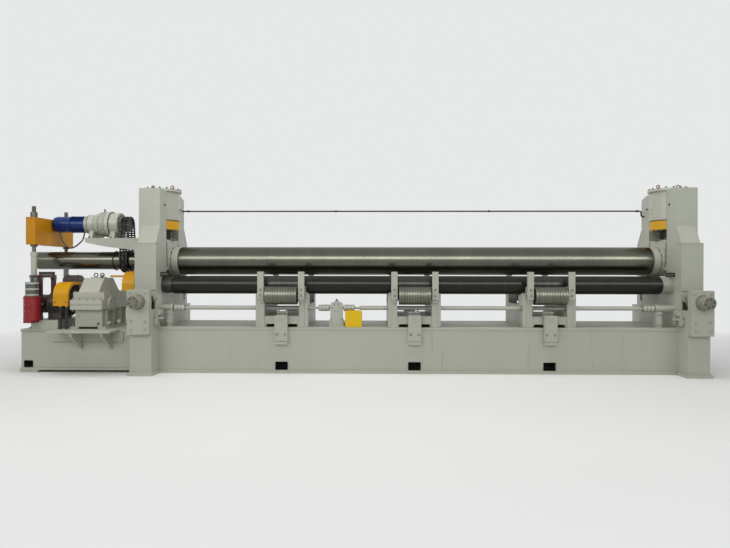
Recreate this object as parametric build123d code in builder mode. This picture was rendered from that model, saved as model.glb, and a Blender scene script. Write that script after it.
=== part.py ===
"""Three-roll plate rolling machine with a long roll face.

Two end frames stand on a welded bed.  The upper roll hangs in sliding bearing
blocks under vertical hydraulic cylinders, and the two lower rolls turn in
blocks that shift together and rest on three stands with grooved rollers.  The main
drive, the upper roll's own chain drive and the tail clamp are at the left.

Frame of the model, in millimetres: X runs along the rolls with zero midway
between the end frames, Y points to the rear with zero at the upper roll's
axis, and Z is up with zero at the floor.
"""

import os
from math import asin, cos, pi, sin, sqrt

from build123d import *

os.makedirs("parts", exist_ok=True)

# End frames
frame_gap = 8200.0
frame_thick = 340.0
frame_height = 2950.0
foot_depth = 1790.0
foot_height = 1020.0
foot_plate_thick = 50.0
foot_plate_edge = 30.0
foot_plate_clear = 10.0
body_depth = 1430.0
body_top = 2060.0
head_depth = 1112.0
head_chamfer_back = 180.0
head_chamfer_drop = 60.0
ledge_rib_inset = 45.0
ledge_rib_height = 290.0
window_half = 285.0
window_step_z = 1535.0
window_floor_z = 1105.0
pocket_top_z = 1215.0
pocket_room = 30.0
pocket_wall = 22.0
cradle_radius = 148.0

# Rolls
roll_face = 7860.0
upper_dia = 470.0
upper_z = 1795.0
upper_neck_dia = 300.0
tail_end_x = -6400.0
lower_dia = 290.0
lower_z = 1395.0
lower_y = 380.0
lower_neck_dia = 190.0
edge_radius = 12.0
turning_gap = 0.05

# Bearing blocks
slide_gap = 0.5
upper_block_bottom = 1640.0
upper_block_top = 2140.0
lower_block_margin = 150.0
shift_travel = 60.0
end_clear = 6.0
lower_block_top = 1525.0
cover_gap = 6.0
upper_cover_dia = 470.0
upper_cover_groove = 20.0
upper_cover_flange = 480.0
upper_cover_flange_thick = 40.0
lower_cover_dia = 262.0
cover_bore_gap = 1.0
stop_bar_thick = 24.0
stop_bar_high = 70.0
stop_bar_end = 540.0
stop_bar_lap = 3.0

# Lift cylinders over the upper roll
lift_barrel_dia = 560.0
lift_barrel_bottom = 2473.0
lift_cap_thick = 40.0
lift_cap_dia = 620.0
lift_gland_thick = 157.0
lift_rod_dia = 300.0
lift_down = 70.0
lift_up = 120.0
lift_engage = 50.0
lift_cushion = 10.0
gland_step = 4.0
rod_gap = 1.0

# Thrust plates and horizontal cylinders at the front of the frames
thrust_plate_thick = 100.0
thrust_plate_bottom = 645.0
thrust_plate_top = 1330.0
thrust_z = 1148.0
thrust_barrel_dia = 220.0
thrust_flange_dia = 236.0
thrust_flange_thick = 22.0
thrust_cap_dia = 204.0
thrust_cap_long = 150.0
thrust_cap_bevel = 12.0
thrust_bore_deep = 130.0
thrust_rod_dia = 110.0
pad_radius = 140.0
pad_thick = 30.0
rod_end_gap = 5.0

# Bed between the frames
bed_top = 730.0
bed_top_plate = 40.0
bed_lip = 8.0
bed_web = 30.0
bed_flange_thick = 45.0
bed_flange_wide = 190.0
bed_flange_proud = 24.0
bed_cross_web = 20.0
bed_cross_count = 8
bed_tie_thick = 25.0
bed_tie_wide = 160.0
pocket_width = 202.0
pocket_height = 138.0
pocket_rim = 14.0
pocket_rim_proud = 8.0
pocket_radius = 14.0

# Drive bed at the left
drive_bed_end_x = -6315.0
drive_bed_top = 690.0
drive_bed_lift = 40.0
drive_flange_thick = 35.0
drive_flange_wide = 144.0
drive_foot_long = 290.0
drive_pocket_x = -6192.0
drive_pocket_width = 150.0
drive_pocket_height = 112.0
shelf_left_x = -5700.0
shelf_right_x = -4715.0
shelf_front_y = -975.0
shelf_thick = 30.0
gusset_xs = (-5329.0, -4852.0)
gusset_thick = 30.0
gusset_nose = 52.0
gusset_inset = 20.0
gusset_root_z = 366.0
backing_left_x = -5781.0
backing_right_x = -4660.0
backing_bottom = 487.0
backing_thick = 20.0

# Support stands
stand_xs = (-2132.0, -24.0, 2103.0)
stand_half = 272.0
stand_plate = 84.0
stand_front_wall = 36.0
stand_shoulder_thick = 61.0
stand_shoulder_top = 1267.0
shoulder_inset = 16.0
stand_horn_step = 44.0
stand_horn_bottom = 1120.0
stand_base_bottom = 780.0
stand_base_top = 905.0
stand_base_inset = 12.0
stand_foot_thick = 25.0
stand_foot_radius = 18.0
stand_pad_half = 89.0
stand_pad_top = 978.0
stand_pad_thick = 32.0
stand_pad_front = -540.0
stand_pad_deep = 70.0
stand_pad_web = 14.0
stand_horn_top = 1375.0
cradle_clear = 12.0
saddle_step = 60.0
saddle_z = 1080.0
support_dia = 288.0
support_z = 1233.0
support_long = 498.0
support_axle_dia = 50.0
axle_end_gap = 1.0
support_groove_wide = 7.0
support_groove_deep = 4.0
support_groove_pitch = 41.0
contact_gap = 0.3
guard_bar_width = 98.0
guard_bar_thick = 42.0
guard_bar_bottom = 1172.0
guard_bar_top = 1612.0
clamp_width = 206.0
clamp_thick = 60.0
clamp_bottom = 462.0
clamp_top = 925.0

# Synchronising shaft
sync_y = -480.0
sync_z = 1030.0
sync_tube_dia = 68.0
sync_stub_dia = 38.0
sync_sleeve_dia = 104.0
sync_sleeve_long = 165.0
sync_sleeve_gap = 24.0
sync_stub_long = 250.0
sync_joint_long = 90.0
sync_box_x = -1267.0
sync_box_width = 188.0
sync_box_base = 270.0
sync_box_base_deep = 240.0
sync_box_deep = 180.0
sync_box_foot = 25.0
sync_box_waist = 12.0
sync_box_waist_z = 868.0
sync_box_top = 1118.0
sync_box_eye_dia = 70.0
sync_box_corner = 40.0
sync_cover_x = -991.5
sync_cover_width = 265.0
sync_cover_top = 995.0
sync_cover_corner = 30.0
sync_cover_front = -600.0
sync_cover_rear = -330.0
sync_hub_dia = 110.0
sync_ring_dia = 132.0
sync_ring_thick = 48.0
sync_left_end = -3901.0
sync_right_end = 3802.0
sync_sleeve_inset = 17.0
sync_pedestal_long = 80.0
sync_pedestal_half = 75.0
sync_pedestal_lap = 10.0

# Main reducer and motor
reducer_x = -5235.0
reducer_y = -162.0
reducer_width = 436.0
reducer_depth = 856.0
reducer_foot_top = 725.0
reducer_foot_in = 60.0
reducer_foot_out = 70.0
reducer_foot_edge = 20.0
reducer_split_z = 1080.0
reducer_flange = 78.0
reducer_flange_width = 508.0
reducer_flange_edge = 10.0
reducer_nose = 90.0
reducer_band_top = 1278.0
reducer_band_width = 500.0
reducer_top = 1505.0
reducer_cover_width = 326.0
reducer_roof_front = -408.0
reducer_roof_rear = -104.0
reducer_tail_y = 110.0
reducer_rib_thick = 16.0
reducer_rib_count = 4
output_boss_dia = 230.0
output_boss_long = 70.0
motor_axis_y = -350.0
motor_dia = 400.0
motor_x0 = -5985.0
motor_x1 = -5600.0
motor_shaft_dia = 70.0
motor_foot_half = 160.0
motor_foot_edge = 10.0
motor_bell = 45.0
coupling_dia = 240.0
coupling_long = 80.0
coupling_shift = -11.0
terminal_box_x0 = -5880.0
terminal_box_x1 = -5605.0
terminal_box_bottom = 1150.0
terminal_box_top = 1549.0
terminal_box_y0 = -200.0
terminal_box_y1 = -20.0
terminal_box_radius = 85.0
plinth_top = 830.0
plinth_x0 = -6140.0
plinth_x1 = -5720.0
plinth_rear = 240.0
brake_x = -6054.0
brake_drum_dia = 300.0
brake_arm_gap = 14.0
brake_arm_deep = 46.0
brake_arm_wide = 68.0
brake_top = 1510.0
brake_drum_wide = 110.0
thruster_offset = 30.0
thruster_y = -700.0
thruster_bracket = 130.0
thruster_bracket_thick = 30.0
thruster_dia = 236.0
thruster_top = 1214.0
thruster_neck_dia = 184.0
thruster_neck_top = 1440.0
thruster_rod_dia = 48.0
brake_lever_high = 42.0
brake_lever_wide = 52.0
brake_lever_over = 20.0

# Guards
guard_sheet = 8.0
guard_slot = 90.0
guard_lip = 45.0
guard_leg_wide = 40.0
shaft_guard_x = -5660.0
shaft_guard_wide = 238.0
shaft_guard_front = -650.0
shaft_guard_radius = 215.0
shaft_guard_bottom = 1061.0
shaft_guard_crown_z = 1221.0
shaft_guard_rear = -230.0
bar_x0 = -5020.0
bar_y = -300.0
bar_deep = 40.0
bar_bottom = 1516.0
bar_top = 1548.0
gear_guard_x = -4598.0
gear_guard_wide = 200.0
gear_guard_radius = 218.0
gear_guard_bottom = 1300.0

# Upper roll's chain drive
chain_pitch = 38.1
chain_links = 58
drive_teeth = 20
tail_teeth = 31
chain_x = -4868.0
chain_wide = 120.0
chain_roller_dia = 25.4
chain_plate_high = 34.0
chain_plate_thick = 10.0
chain_clear = 0.5
chain_side_gap = 2.0
sprocket_hub_dia = 110.0
drive_shelf_top = 2165.0
drive_shelf_x0 = -5460.0
drive_shelf_half = 278.0
drive_shelf_thick = 30.0
shelf_slot_room = 40.0
cheek_thick = 24.0
cheek_tip_z = 2095.0
cheek_bend_x = -5000.0
cheek_bend_z = 2008.0
cheek_root_z = 1970.0
top_motor_dia = 268.0
top_motor_x0 = -6104.0
top_motor_round = 45.0
top_motor_step = 6.0
fan_cover_end_x = -5819.0
# Outline of the planetary reducer: place along X and radius, step by step
planetary_steps = (
    (-5565.0, 140.0),
    (-5500.0, 140.0),
    (-5500.0, 165.0),
    (-5385.0, 165.0),
    (-5385.0, 173.0),
    (-5190.0, 212.0),
    (-5190.0, 216.0),
    (-5120.0, 216.0),
    (-5120.0, 195.0),
    (-4972.0, 195.0),
)
planetary_end_x = planetary_steps[-1][0]
planetary_feet = ((-5450.0, -5380.0), (-5095.0, -5010.0))
planetary_foot_half = 210.0
planetary_foot_lean = 60.0
planetary_foot_top = 2300.0

# Tail clamp
tail_beam_x = -6197.0
tail_beam_thick = 152.0
tail_beam_depth = 1110.0
tail_beam_bottom = 2045.0
tail_beam_top = 2486.0
tail_post_y = 466.0
tail_post_dia = 88.0
tail_post_top = 1930.0
tail_rod_dia = 58.0
tail_rod_foot = 1640.0
tail_rod_top = 2671.0
tail_nut_dia = 104.0
tail_nut_high = 88.0
tail_collar_high = 32.0

# Hydraulic line
line_y = 470.0
line_z = 2688.0
line_end_z = 2590.0
line_step_x = 4050.0
line_bend = 30.0
line_dia = 26.0

# Worked-out places
inner_x = frame_gap / 2
outer_x = inner_x + frame_thick
frame_mid_x = inner_x + frame_thick / 2
foot_front = -foot_depth / 2
body_front = -body_depth / 2
both_sides = (-1, 1)
block_half = lower_y + lower_block_margin
block_front = -block_half
window_front = -(block_half + end_clear)
window_rear = block_half + shift_travel + end_clear
pocket_back = block_front + shift_travel + pocket_room
thrust_face = foot_front - thrust_plate_thick
motor_axis_z = reducer_split_z

# The bed is as deep as the stands need, whose slots take the cross shaft
slot_high = sync_tube_dia + 2 * end_clear
stand_front = sync_y - shift_travel - slot_high / 2 - stand_front_wall
bed_front = stand_front
bed_depth = -2 * bed_front
stand_rear = -bed_front - shift_travel - end_clear
horn_half = bed_depth / 2 + stand_horn_step
reach = (lower_dia + support_dia) / 2 + contact_gap
support_y = lower_y + sqrt(reach**2 - (lower_z - support_z) ** 2)
pocket_bottom = bed_flange_thick

# Chain: the drive shaft stands where a whole number of links closes the loop
tail_pitch_radius = chain_pitch / 2 / sin(pi / tail_teeth)
drive_pitch_radius = chain_pitch / 2 / sin(pi / drive_teeth)
shaft_distance = chain_links * chain_pitch / 4
for _ in range(20):
    wrap_lean = asin((tail_pitch_radius - drive_pitch_radius) / shaft_distance)
    wrapped = (0.5 - wrap_lean / pi) * drive_teeth + (0.5 + wrap_lean / pi) * tail_teeth
    straight_run = (chain_links - wrapped) * chain_pitch / 2
    shaft_distance = sqrt(straight_run**2 + (tail_pitch_radius - drive_pitch_radius) ** 2)
drive_axis_z = upper_z + shaft_distance


def save(shape, label):
    """Name one finished sub-part and write its file."""
    shape.label = label
    export_step(shape, f"parts/{label}.step")


def box(x0, x1, y0, y1, z0, z1, mode=Mode.ADD):
    """A plate or bar between two corners, for use inside a part block."""
    with Locations(((x0 + x1) / 2, (y0 + y1) / 2, (z0 + z1) / 2)):
        Box(abs(x1 - x0), abs(y1 - y0), abs(z1 - z0), mode=mode)


def rod_x(x0, x1, y, z, dia):
    """A round bar along X, for use inside a part block."""
    with Locations(Location(((x0 + x1) / 2, y, z), (0, 90, 0))):
        Cylinder(dia / 2, abs(x1 - x0))


def rod_z(x, y, z0, z1, dia):
    """An upright round bar, for use inside a part block."""
    with Locations((x, y, (z0 + z1) / 2)):
        Cylinder(dia / 2, z1 - z0)


# End frames: a stepped plate frame with one window shaped like an upside-down T
def end_frame(side):
    half_foot = foot_depth / 2
    half_body = body_depth / 2
    half_head = head_depth / 2
    x_start = inner_x if side > 0 else -outer_x
    with BuildPart() as frame:
        with BuildSketch(Plane.YZ.offset(x_start)):
            with BuildLine():
                Polyline(
                    (-half_foot, 0),
                    (half_foot, 0),
                    (half_foot, foot_height),
                    (half_body, foot_height),
                    (half_body, body_top),
                    (half_head, body_top),
                    (half_head, frame_height - head_chamfer_drop),
                    (half_head - head_chamfer_back, frame_height),
                    (-half_head, frame_height),
                    (-half_head, body_top),
                    (-half_body, body_top),
                    (-half_body, foot_height),
                    (-half_foot, foot_height),
                    (-half_foot, 0),
                )
            make_face()
            with BuildLine():
                Polyline(
                    (window_front, window_floor_z),
                    (window_rear, window_floor_z),
                    (window_rear, window_step_z),
                    (window_half, window_step_z),
                    (window_half, frame_height + 1),
                    (-window_half, frame_height + 1),
                    (-window_half, window_step_z),
                    (window_front, window_step_z),
                    (window_front, window_floor_z),
                )
            make_face(mode=Mode.SUBTRACT)
        extrude(amount=frame_thick)
        box(
            x_start + pocket_wall,
            x_start + frame_thick - pocket_wall,
            -half_body,
            pocket_back,
            foot_height,
            pocket_top_z,
            mode=Mode.SUBTRACT,
        )
        # The rounded cradle under the thrust cylinder runs back into the pocket
        with BuildSketch(Plane.XZ.offset(-foot_front)):
            with Locations((side * frame_mid_x, thrust_z)):
                Circle(cradle_radius)
            with Locations((side * frame_mid_x, foot_height + cradle_radius)):
                Rectangle(2 * cradle_radius, 2 * cradle_radius, mode=Mode.SUBTRACT)
        extrude(amount=foot_front - pocket_back, mode=Mode.SUBTRACT)
        # Gusset wedges on the ledges, flush with the inner face
        wedge_x = inner_x if side > 0 else -outer_x + ledge_rib_inset
        with BuildSketch(Plane.YZ.offset(wedge_x)):
            for y_side in both_sides:
                with BuildLine():
                    Polyline(
                        (y_side * half_body, body_top),
                        (y_side * half_head, body_top),
                        (y_side * half_head, body_top + ledge_rib_height),
                        (y_side * half_body, body_top),
                    )
                make_face()
        extrude(amount=frame_thick - ledge_rib_inset)
        # Foot plates that stand out beside the bed
        for y_side in both_sides:
            box(
                x_start - foot_plate_edge,
                x_start + frame_thick + foot_plate_edge,
                y_side * (bed_depth / 2 + bed_flange_proud + foot_plate_clear),
                y_side * (half_foot + foot_plate_edge),
                0,
                foot_plate_thick,
            )
    return frame.part


save(end_frame(-1), "left_end_frame")
save(end_frame(1), "right_end_frame")

# Bed between the frames: top plate, two girders with lifting pockets, cross webs
with BuildPart() as bed:
    under = bed_top - bed_top_plate
    box(-inner_x, inner_x, bed_front - bed_lip, -bed_front + bed_lip, under, bed_top)
    for y_side in both_sides:
        half = bed_depth / 2
        flange_out = half + bed_flange_proud
        box(-inner_x, inner_x, y_side * half, y_side * (half - bed_web), 0, under)
        box(-inner_x, inner_x, y_side * flange_out, y_side * (flange_out - bed_flange_wide), 0, bed_flange_thick)
    web_pitch = (frame_gap - bed_cross_web) / (bed_cross_count - 1)
    for i in range(bed_cross_count):
        x = -inner_x + bed_cross_web / 2 + i * web_pitch
        box(x - bed_cross_web / 2, x + bed_cross_web / 2, bed_front, -bed_front, bed_flange_thick, under)
        if i:
            x -= web_pitch / 2
            box(x - bed_tie_wide / 2, x + bed_tie_wide / 2, bed_front, -bed_front, 0, bed_tie_thick)
    # Lifting pockets through both girders, each in a raised rim
    for y_side in both_sides:
        for grow, proud, mode in ((pocket_rim, pocket_rim_proud, Mode.ADD), (0, bed_flange_proud, Mode.SUBTRACT)):
            with BuildSketch(Plane.XZ.offset(-y_side * (bed_depth / 2 + proud))):
                for x in stand_xs:
                    with Locations((x, pocket_bottom + pocket_height / 2)):
                        RectangleRounded(pocket_width + 2 * grow, pocket_height + 2 * grow, pocket_radius + grow)
            extrude(amount=y_side * (bed_web + proud), mode=mode)
save(bed.part, "machine_bed")

# Drive bed: a raised welded box beside the left frame, on a foot at its far end
with BuildPart() as drive_bed:
    top_under = drive_bed_top - shelf_thick
    flange_top = drive_bed_lift + drive_flange_thick
    box(drive_bed_end_x, -outer_x, bed_front - bed_lip, -bed_front + bed_lip, top_under, drive_bed_top)
    for y_side in both_sides:
        half = bed_depth / 2
        flange_out = half + bed_flange_proud
        flange_in = flange_out - drive_flange_wide
        foot_end = drive_bed_end_x + drive_foot_long
        box(drive_bed_end_x + bed_lip, -outer_x, y_side * half, y_side * (half - bed_web), drive_bed_lift, top_under)
        box(drive_bed_end_x, -outer_x, y_side * flange_out, y_side * flange_in, drive_bed_lift, flange_top)
        box(drive_bed_end_x, foot_end, y_side * flange_out, y_side * flange_in, 0, drive_bed_lift)
    box(
        drive_bed_end_x + bed_lip,
        drive_bed_end_x + bed_lip + bed_web,
        bed_front + bed_web,
        -bed_front - bed_web,
        drive_bed_lift,
        top_under,
    )
    with BuildSketch(Plane.XZ.offset(-bed_front)):
        with Locations((drive_pocket_x, flange_top + drive_pocket_height / 2)):
            RectangleRounded(drive_pocket_width, drive_pocket_height, pocket_radius)
    extrude(amount=-bed_web, mode=Mode.SUBTRACT)
save(drive_bed.part, "drive_bed")

# Shelf that carries the reducer's overhang, on two gussets and a backing plate
with BuildPart() as reducer_shelf:
    shelf_back = bed_front - bed_lip
    shelf_under = drive_bed_top - shelf_thick
    box(shelf_left_x, shelf_right_x, shelf_front_y, shelf_back, shelf_under, drive_bed_top)
    box(backing_left_x, backing_right_x, bed_front - backing_thick, bed_front, backing_bottom, shelf_under)
    for x in gusset_xs:
        with BuildSketch(Plane.YZ.offset(x - gusset_thick / 2)):
            with BuildLine():
                Polyline(
                    (shelf_front_y + gusset_inset, shelf_under),
                    (bed_front, shelf_under),
                    (bed_front, gusset_root_z),
                    (shelf_front_y + gusset_inset, shelf_under - gusset_nose),
                    (shelf_front_y + gusset_inset, shelf_under),
                )
            make_face()
        extrude(amount=gusset_thick)
save(reducer_shelf.part, "reducer_shelf")

# Thrust plates bolted to the feet of both frames
with BuildPart() as thrust_plates:
    for side in both_sides:
        box(side * inner_x, side * outer_x, thrust_face, foot_front, thrust_plate_bottom, thrust_plate_top)
save(thrust_plates.part, "thrust_plates")

# Horizontal cylinders in the frames' cradles, with flanges and caps in front
with BuildPart() as thrust_cylinders:
    for side in both_sides:
        with BuildSketch(Plane.XY.offset(thrust_z)):
            with BuildLine():
                x = side * frame_mid_x
                cap_end = thrust_face - thrust_flange_thick - thrust_cap_long
                Polyline(
                    (x, foot_front),
                    (x + thrust_barrel_dia / 2, foot_front),
                    (x + thrust_barrel_dia / 2, body_front),
                    (x, body_front),
                    (x, foot_front),
                )
            make_face()
            with BuildLine():
                Polyline(
                    (x, thrust_face),
                    (x + thrust_flange_dia / 2, thrust_face),
                    (x + thrust_flange_dia / 2, thrust_face - thrust_flange_thick),
                    (x + thrust_cap_dia / 2, thrust_face - thrust_flange_thick),
                    (x + thrust_cap_dia / 2, cap_end + thrust_cap_bevel),
                    (x + thrust_cap_dia / 2 - thrust_cap_bevel, cap_end),
                    (x, cap_end),
                    (x, thrust_face),
                )
            make_face()
        revolve(axis=Axis((x, 0, thrust_z), (0, 1, 0)))
        with BuildSketch(Plane.XZ.offset(-body_front)):
            with Locations((x, thrust_z)):
                Circle(thrust_rod_dia / 2 + rod_gap)
        extrude(amount=thrust_bore_deep, mode=Mode.SUBTRACT)
save(thrust_cylinders.part, "thrust_cylinders")

# Rods and pressure pads that push the lower bearing blocks
with BuildPart() as thrust_rods:
    pad_front = block_front - pad_thick
    pad_top = pocket_top_z - end_clear
    rod_end = body_front - thrust_bore_deep + rod_end_gap
    for side in both_sides:
        x = side * frame_mid_x
        with BuildSketch(Plane.XZ.offset(-block_front)):
            with Locations((x, thrust_z)):
                Circle(pad_radius)
            with Locations((x, pad_top + pad_radius)):
                Rectangle(3 * pad_radius, 2 * pad_radius, mode=Mode.SUBTRACT)
        extrude(amount=pad_thick)
        with BuildSketch(Plane.XZ.offset(-pad_front)):
            with Locations((x, thrust_z)):
                Circle(thrust_rod_dia / 2)
        extrude(amount=pad_front - rod_end)
save(thrust_rods.part, "thrust_rods")

# Lift cylinders, hung in the frame windows by their flanges
with BuildPart() as lift_cylinders:
    bore_top = lift_barrel_bottom + lift_engage + lift_up + lift_cushion
    for side in both_sides:
        x = side * frame_mid_x
        with BuildSketch(Plane.XZ):
            with BuildLine():
                Polyline(
                    (x, frame_height + lift_cap_thick),
                    (x + lift_cap_dia / 2, frame_height + lift_cap_thick),
                    (x + lift_cap_dia / 2, frame_height),
                    (x + lift_barrel_dia / 2, frame_height),
                    (x + lift_barrel_dia / 2, lift_barrel_bottom),
                    (x + lift_rod_dia / 2 + rod_gap, lift_barrel_bottom),
                    (x + lift_rod_dia / 2 + rod_gap, bore_top),
                    (x, bore_top),
                    (x, frame_height + lift_cap_thick),
                )
            make_face()
        revolve(axis=Axis((x, 0, 0), (0, 0, 1)))
save(lift_cylinders.part, "lift_cylinders")

with BuildPart() as lift_glands:
    for side in both_sides:
        with BuildSketch(Plane.XY.offset(lift_barrel_bottom)):
            with Locations((side * frame_mid_x, 0)):
                Circle(lift_barrel_dia / 2 - gland_step)
                Circle(lift_rod_dia / 2 + rod_gap, mode=Mode.SUBTRACT)
        extrude(amount=-lift_gland_thick)
save(lift_glands.part, "lift_glands")

# Lift rods, which push the upper bearing blocks
with BuildPart() as lift_rods:
    for side in both_sides:
        rod_z(side * frame_mid_x, 0, upper_block_top, lift_barrel_bottom + lift_engage, lift_rod_dia)
save(lift_rods.part, "lift_rods")

# Upper bearing blocks, sliding in the frame windows
with BuildPart() as upper_blocks:
    block_slide = window_half - slide_gap
    for side in both_sides:
        box(side * inner_x, side * outer_x, -block_slide, block_slide, upper_block_bottom, upper_block_top)
        with Locations(Location((side * frame_mid_x, 0, upper_z), (0, 90, 0))):
            Cylinder(upper_neck_dia / 2 + turning_gap, 2 * frame_thick, mode=Mode.SUBTRACT)
save(upper_blocks.part, "upper_bearing_blocks")

# Stepped covers round the upper roll's necks, inside the frames
with BuildPart() as upper_covers:
    cover_end = roll_face / 2 + cover_gap
    for side in both_sides:
        with BuildSketch(Plane.XZ):
            with BuildLine():
                flange_end = inner_x - upper_cover_flange_thick
                groove_end = flange_end - upper_cover_groove
                bore_z = upper_z + upper_neck_dia / 2 + cover_bore_gap
                Polyline(
                    (side * inner_x, bore_z),
                    (side * inner_x, upper_z + upper_cover_flange / 2),
                    (side * flange_end, upper_z + upper_cover_flange / 2),
                    (side * flange_end, upper_z + upper_cover_dia / 2 - upper_cover_groove),
                    (side * groove_end, upper_z + upper_cover_dia / 2 - upper_cover_groove),
                    (side * groove_end, upper_z + upper_cover_dia / 2),
                    (side * cover_end, upper_z + upper_cover_dia / 2),
                    (side * cover_end, bore_z),
                    (side * inner_x, bore_z),
                )
            make_face()
        revolve(axis=Axis((0, 0, upper_z), (1, 0, 0)))
save(upper_covers.part, "upper_bearing_covers")

# Upper roll, with its necks and the long tail
with BuildPart() as upper_roll:
    with BuildSketch(Plane.XZ):
        with BuildLine():
            half = roll_face / 2
            r_roll = upper_dia / 2
            r_neck = upper_neck_dia / 2
            Polyline(
                (tail_end_x, upper_z),
                (tail_end_x, upper_z + r_neck - edge_radius),
                (tail_end_x + edge_radius, upper_z + r_neck),
                (-half, upper_z + r_neck),
                (-half, upper_z + r_roll - edge_radius),
                (-half + edge_radius, upper_z + r_roll),
                (half - edge_radius, upper_z + r_roll),
                (half, upper_z + r_roll - edge_radius),
                (half, upper_z + r_neck),
                (outer_x, upper_z + r_neck),
                (outer_x, upper_z),
                (tail_end_x, upper_z),
            )
        make_face()
    revolve(axis=Axis((0, 0, upper_z), (1, 0, 0)))
save(upper_roll.part, "upper_roll")


# Lower rolls
def lower_roll(y):
    half = roll_face / 2
    r_roll = lower_dia / 2
    r_neck = lower_neck_dia / 2
    with BuildPart() as roll:
        with BuildSketch(Plane.XZ.offset(-y)):
            with BuildLine():
                Polyline(
                    (-outer_x, lower_z),
                    (-outer_x, lower_z + r_neck),
                    (-half, lower_z + r_neck),
                    (-half, lower_z + r_roll - edge_radius),
                    (-half + edge_radius, lower_z + r_roll),
                    (half - edge_radius, lower_z + r_roll),
                    (half, lower_z + r_roll - edge_radius),
                    (half, lower_z + r_neck),
                    (outer_x, lower_z + r_neck),
                    (outer_x, lower_z),
                    (-outer_x, lower_z),
                )
            make_face()
        revolve(axis=Axis((0, y, lower_z), (1, 0, 0)))
    return roll.part


save(lower_roll(-lower_y), "lower_front_roll")
save(lower_roll(lower_y), "lower_rear_roll")

# Lower bearing blocks: one in each frame, carrying both lower rolls
with BuildPart() as lower_blocks:
    for side in both_sides:
        box(side * inner_x, side * outer_x, block_front, block_half, window_floor_z + slide_gap, lower_block_top)
    for y_side in both_sides:
        with Locations(Location((0, y_side * lower_y, lower_z), (0, 90, 0))):
            Cylinder(lower_neck_dia / 2 + turning_gap, 2 * outer_x + 10, mode=Mode.SUBTRACT)
save(lower_blocks.part, "lower_bearing_blocks")

# Round covers on the lower blocks, one round each lower neck
with BuildPart() as lower_covers:
    for side in both_sides:
        cover_long = inner_x - roll_face / 2 - cover_gap
        with BuildSketch(Plane.YZ.offset(side * inner_x)):
            for y_side in both_sides:
                with Locations((y_side * lower_y, lower_z)):
                    Circle(lower_cover_dia / 2)
                    Circle(lower_neck_dia / 2 + cover_bore_gap, mode=Mode.SUBTRACT)
        extrude(amount=-side * cover_long)
save(lower_covers.part, "lower_bearing_covers")

# Dark stop bars beside the windows
with BuildPart() as stop_bars:
    bar_start = window_half + end_clear
    bar_z = window_step_z - stop_bar_lap
    for side in both_sides:
        for y_side in both_sides:
            box(
                side * inner_x,
                side * (inner_x - stop_bar_thick),
                y_side * bar_start,
                y_side * stop_bar_end,
                bar_z,
                bar_z + stop_bar_high,
            )
save(stop_bars.part, "window_stop_bars")


# Support stands: two cheeks with cradles, joined by a bar that slides on the bed
def support_stand(x_mid):
    floor = bed_top + slide_gap
    outer_half = stand_half + stand_plate + stand_shoulder_thick
    base_front = stand_front + stand_base_inset
    with BuildPart() as stand:
        for side in both_sides:
            near = x_mid + side * stand_half
            far = near + side * stand_plate
            with BuildSketch(Plane.YZ.offset(near)):
                with BuildLine():
                    Polyline(
                        (stand_front, floor),
                        (stand_rear, floor),
                        (stand_rear, stand_horn_bottom),
                        (horn_half, stand_horn_bottom),
                        (horn_half, stand_horn_top),
                        (-horn_half, stand_horn_top),
                        (-horn_half, stand_horn_bottom),
                        (stand_front, stand_horn_bottom),
                        (stand_front, floor),
                    )
                make_face()
            extrude(amount=side * stand_plate)
            box(
                far,
                far + side * stand_shoulder_thick,
                stand_front + shoulder_inset,
                stand_rear - shoulder_inset,
                floor,
                stand_shoulder_top,
            )
        # Cradles for both rolls, saddle between them, axle holes and shaft slot
        with BuildSketch(Plane.YZ.offset(x_mid - outer_half)):
            for y_side in both_sides:
                with Locations((y_side * lower_y, lower_z)):
                    Circle(lower_dia / 2 + cradle_clear)
                with Locations((y_side * support_y, support_z)):
                    Circle(support_axle_dia / 2 + turning_gap)
            with Locations((0, (stand_horn_top + saddle_z) / 2)):
                Rectangle(2 * (lower_y - saddle_step), stand_horn_top - saddle_z)
            with Locations((sync_y - shift_travel / 2, sync_z)):
                SlotOverall(slot_high + shift_travel, slot_high)
        extrude(amount=2 * outer_half, mode=Mode.SUBTRACT)
        # Bar with a rounded tunnel under it, and the pad for a stop on top
        with BuildSketch(Plane.XZ.offset(-base_front)):
            with Locations((x_mid, (floor + stand_base_top) / 2)):
                Rectangle(2 * stand_half, stand_base_top - floor)
            with Locations((x_mid, floor)):
                RectangleRounded(
                    2 * (stand_half - stand_foot_thick),
                    2 * (stand_base_bottom - floor),
                    stand_foot_radius,
                    mode=Mode.SUBTRACT,
                )
        extrude(amount=base_front - stand_rear)
        pad_rear = stand_pad_front + stand_pad_deep
        web_y = stand_pad_front + (stand_pad_deep - stand_pad_web) / 2
        pad_under = stand_pad_top - stand_pad_thick
        pad_left = x_mid - stand_pad_half
        pad_right = x_mid + stand_pad_half
        box(pad_left, pad_right, stand_pad_front, pad_rear, pad_under, stand_pad_top)
        box(pad_left, pad_right, web_y, web_y + stand_pad_web, stand_base_top, pad_under)
    return stand.part


for number, x_mid in enumerate(stand_xs, start=1):
    save(support_stand(x_mid), f"support_stand_{number}")


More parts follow.
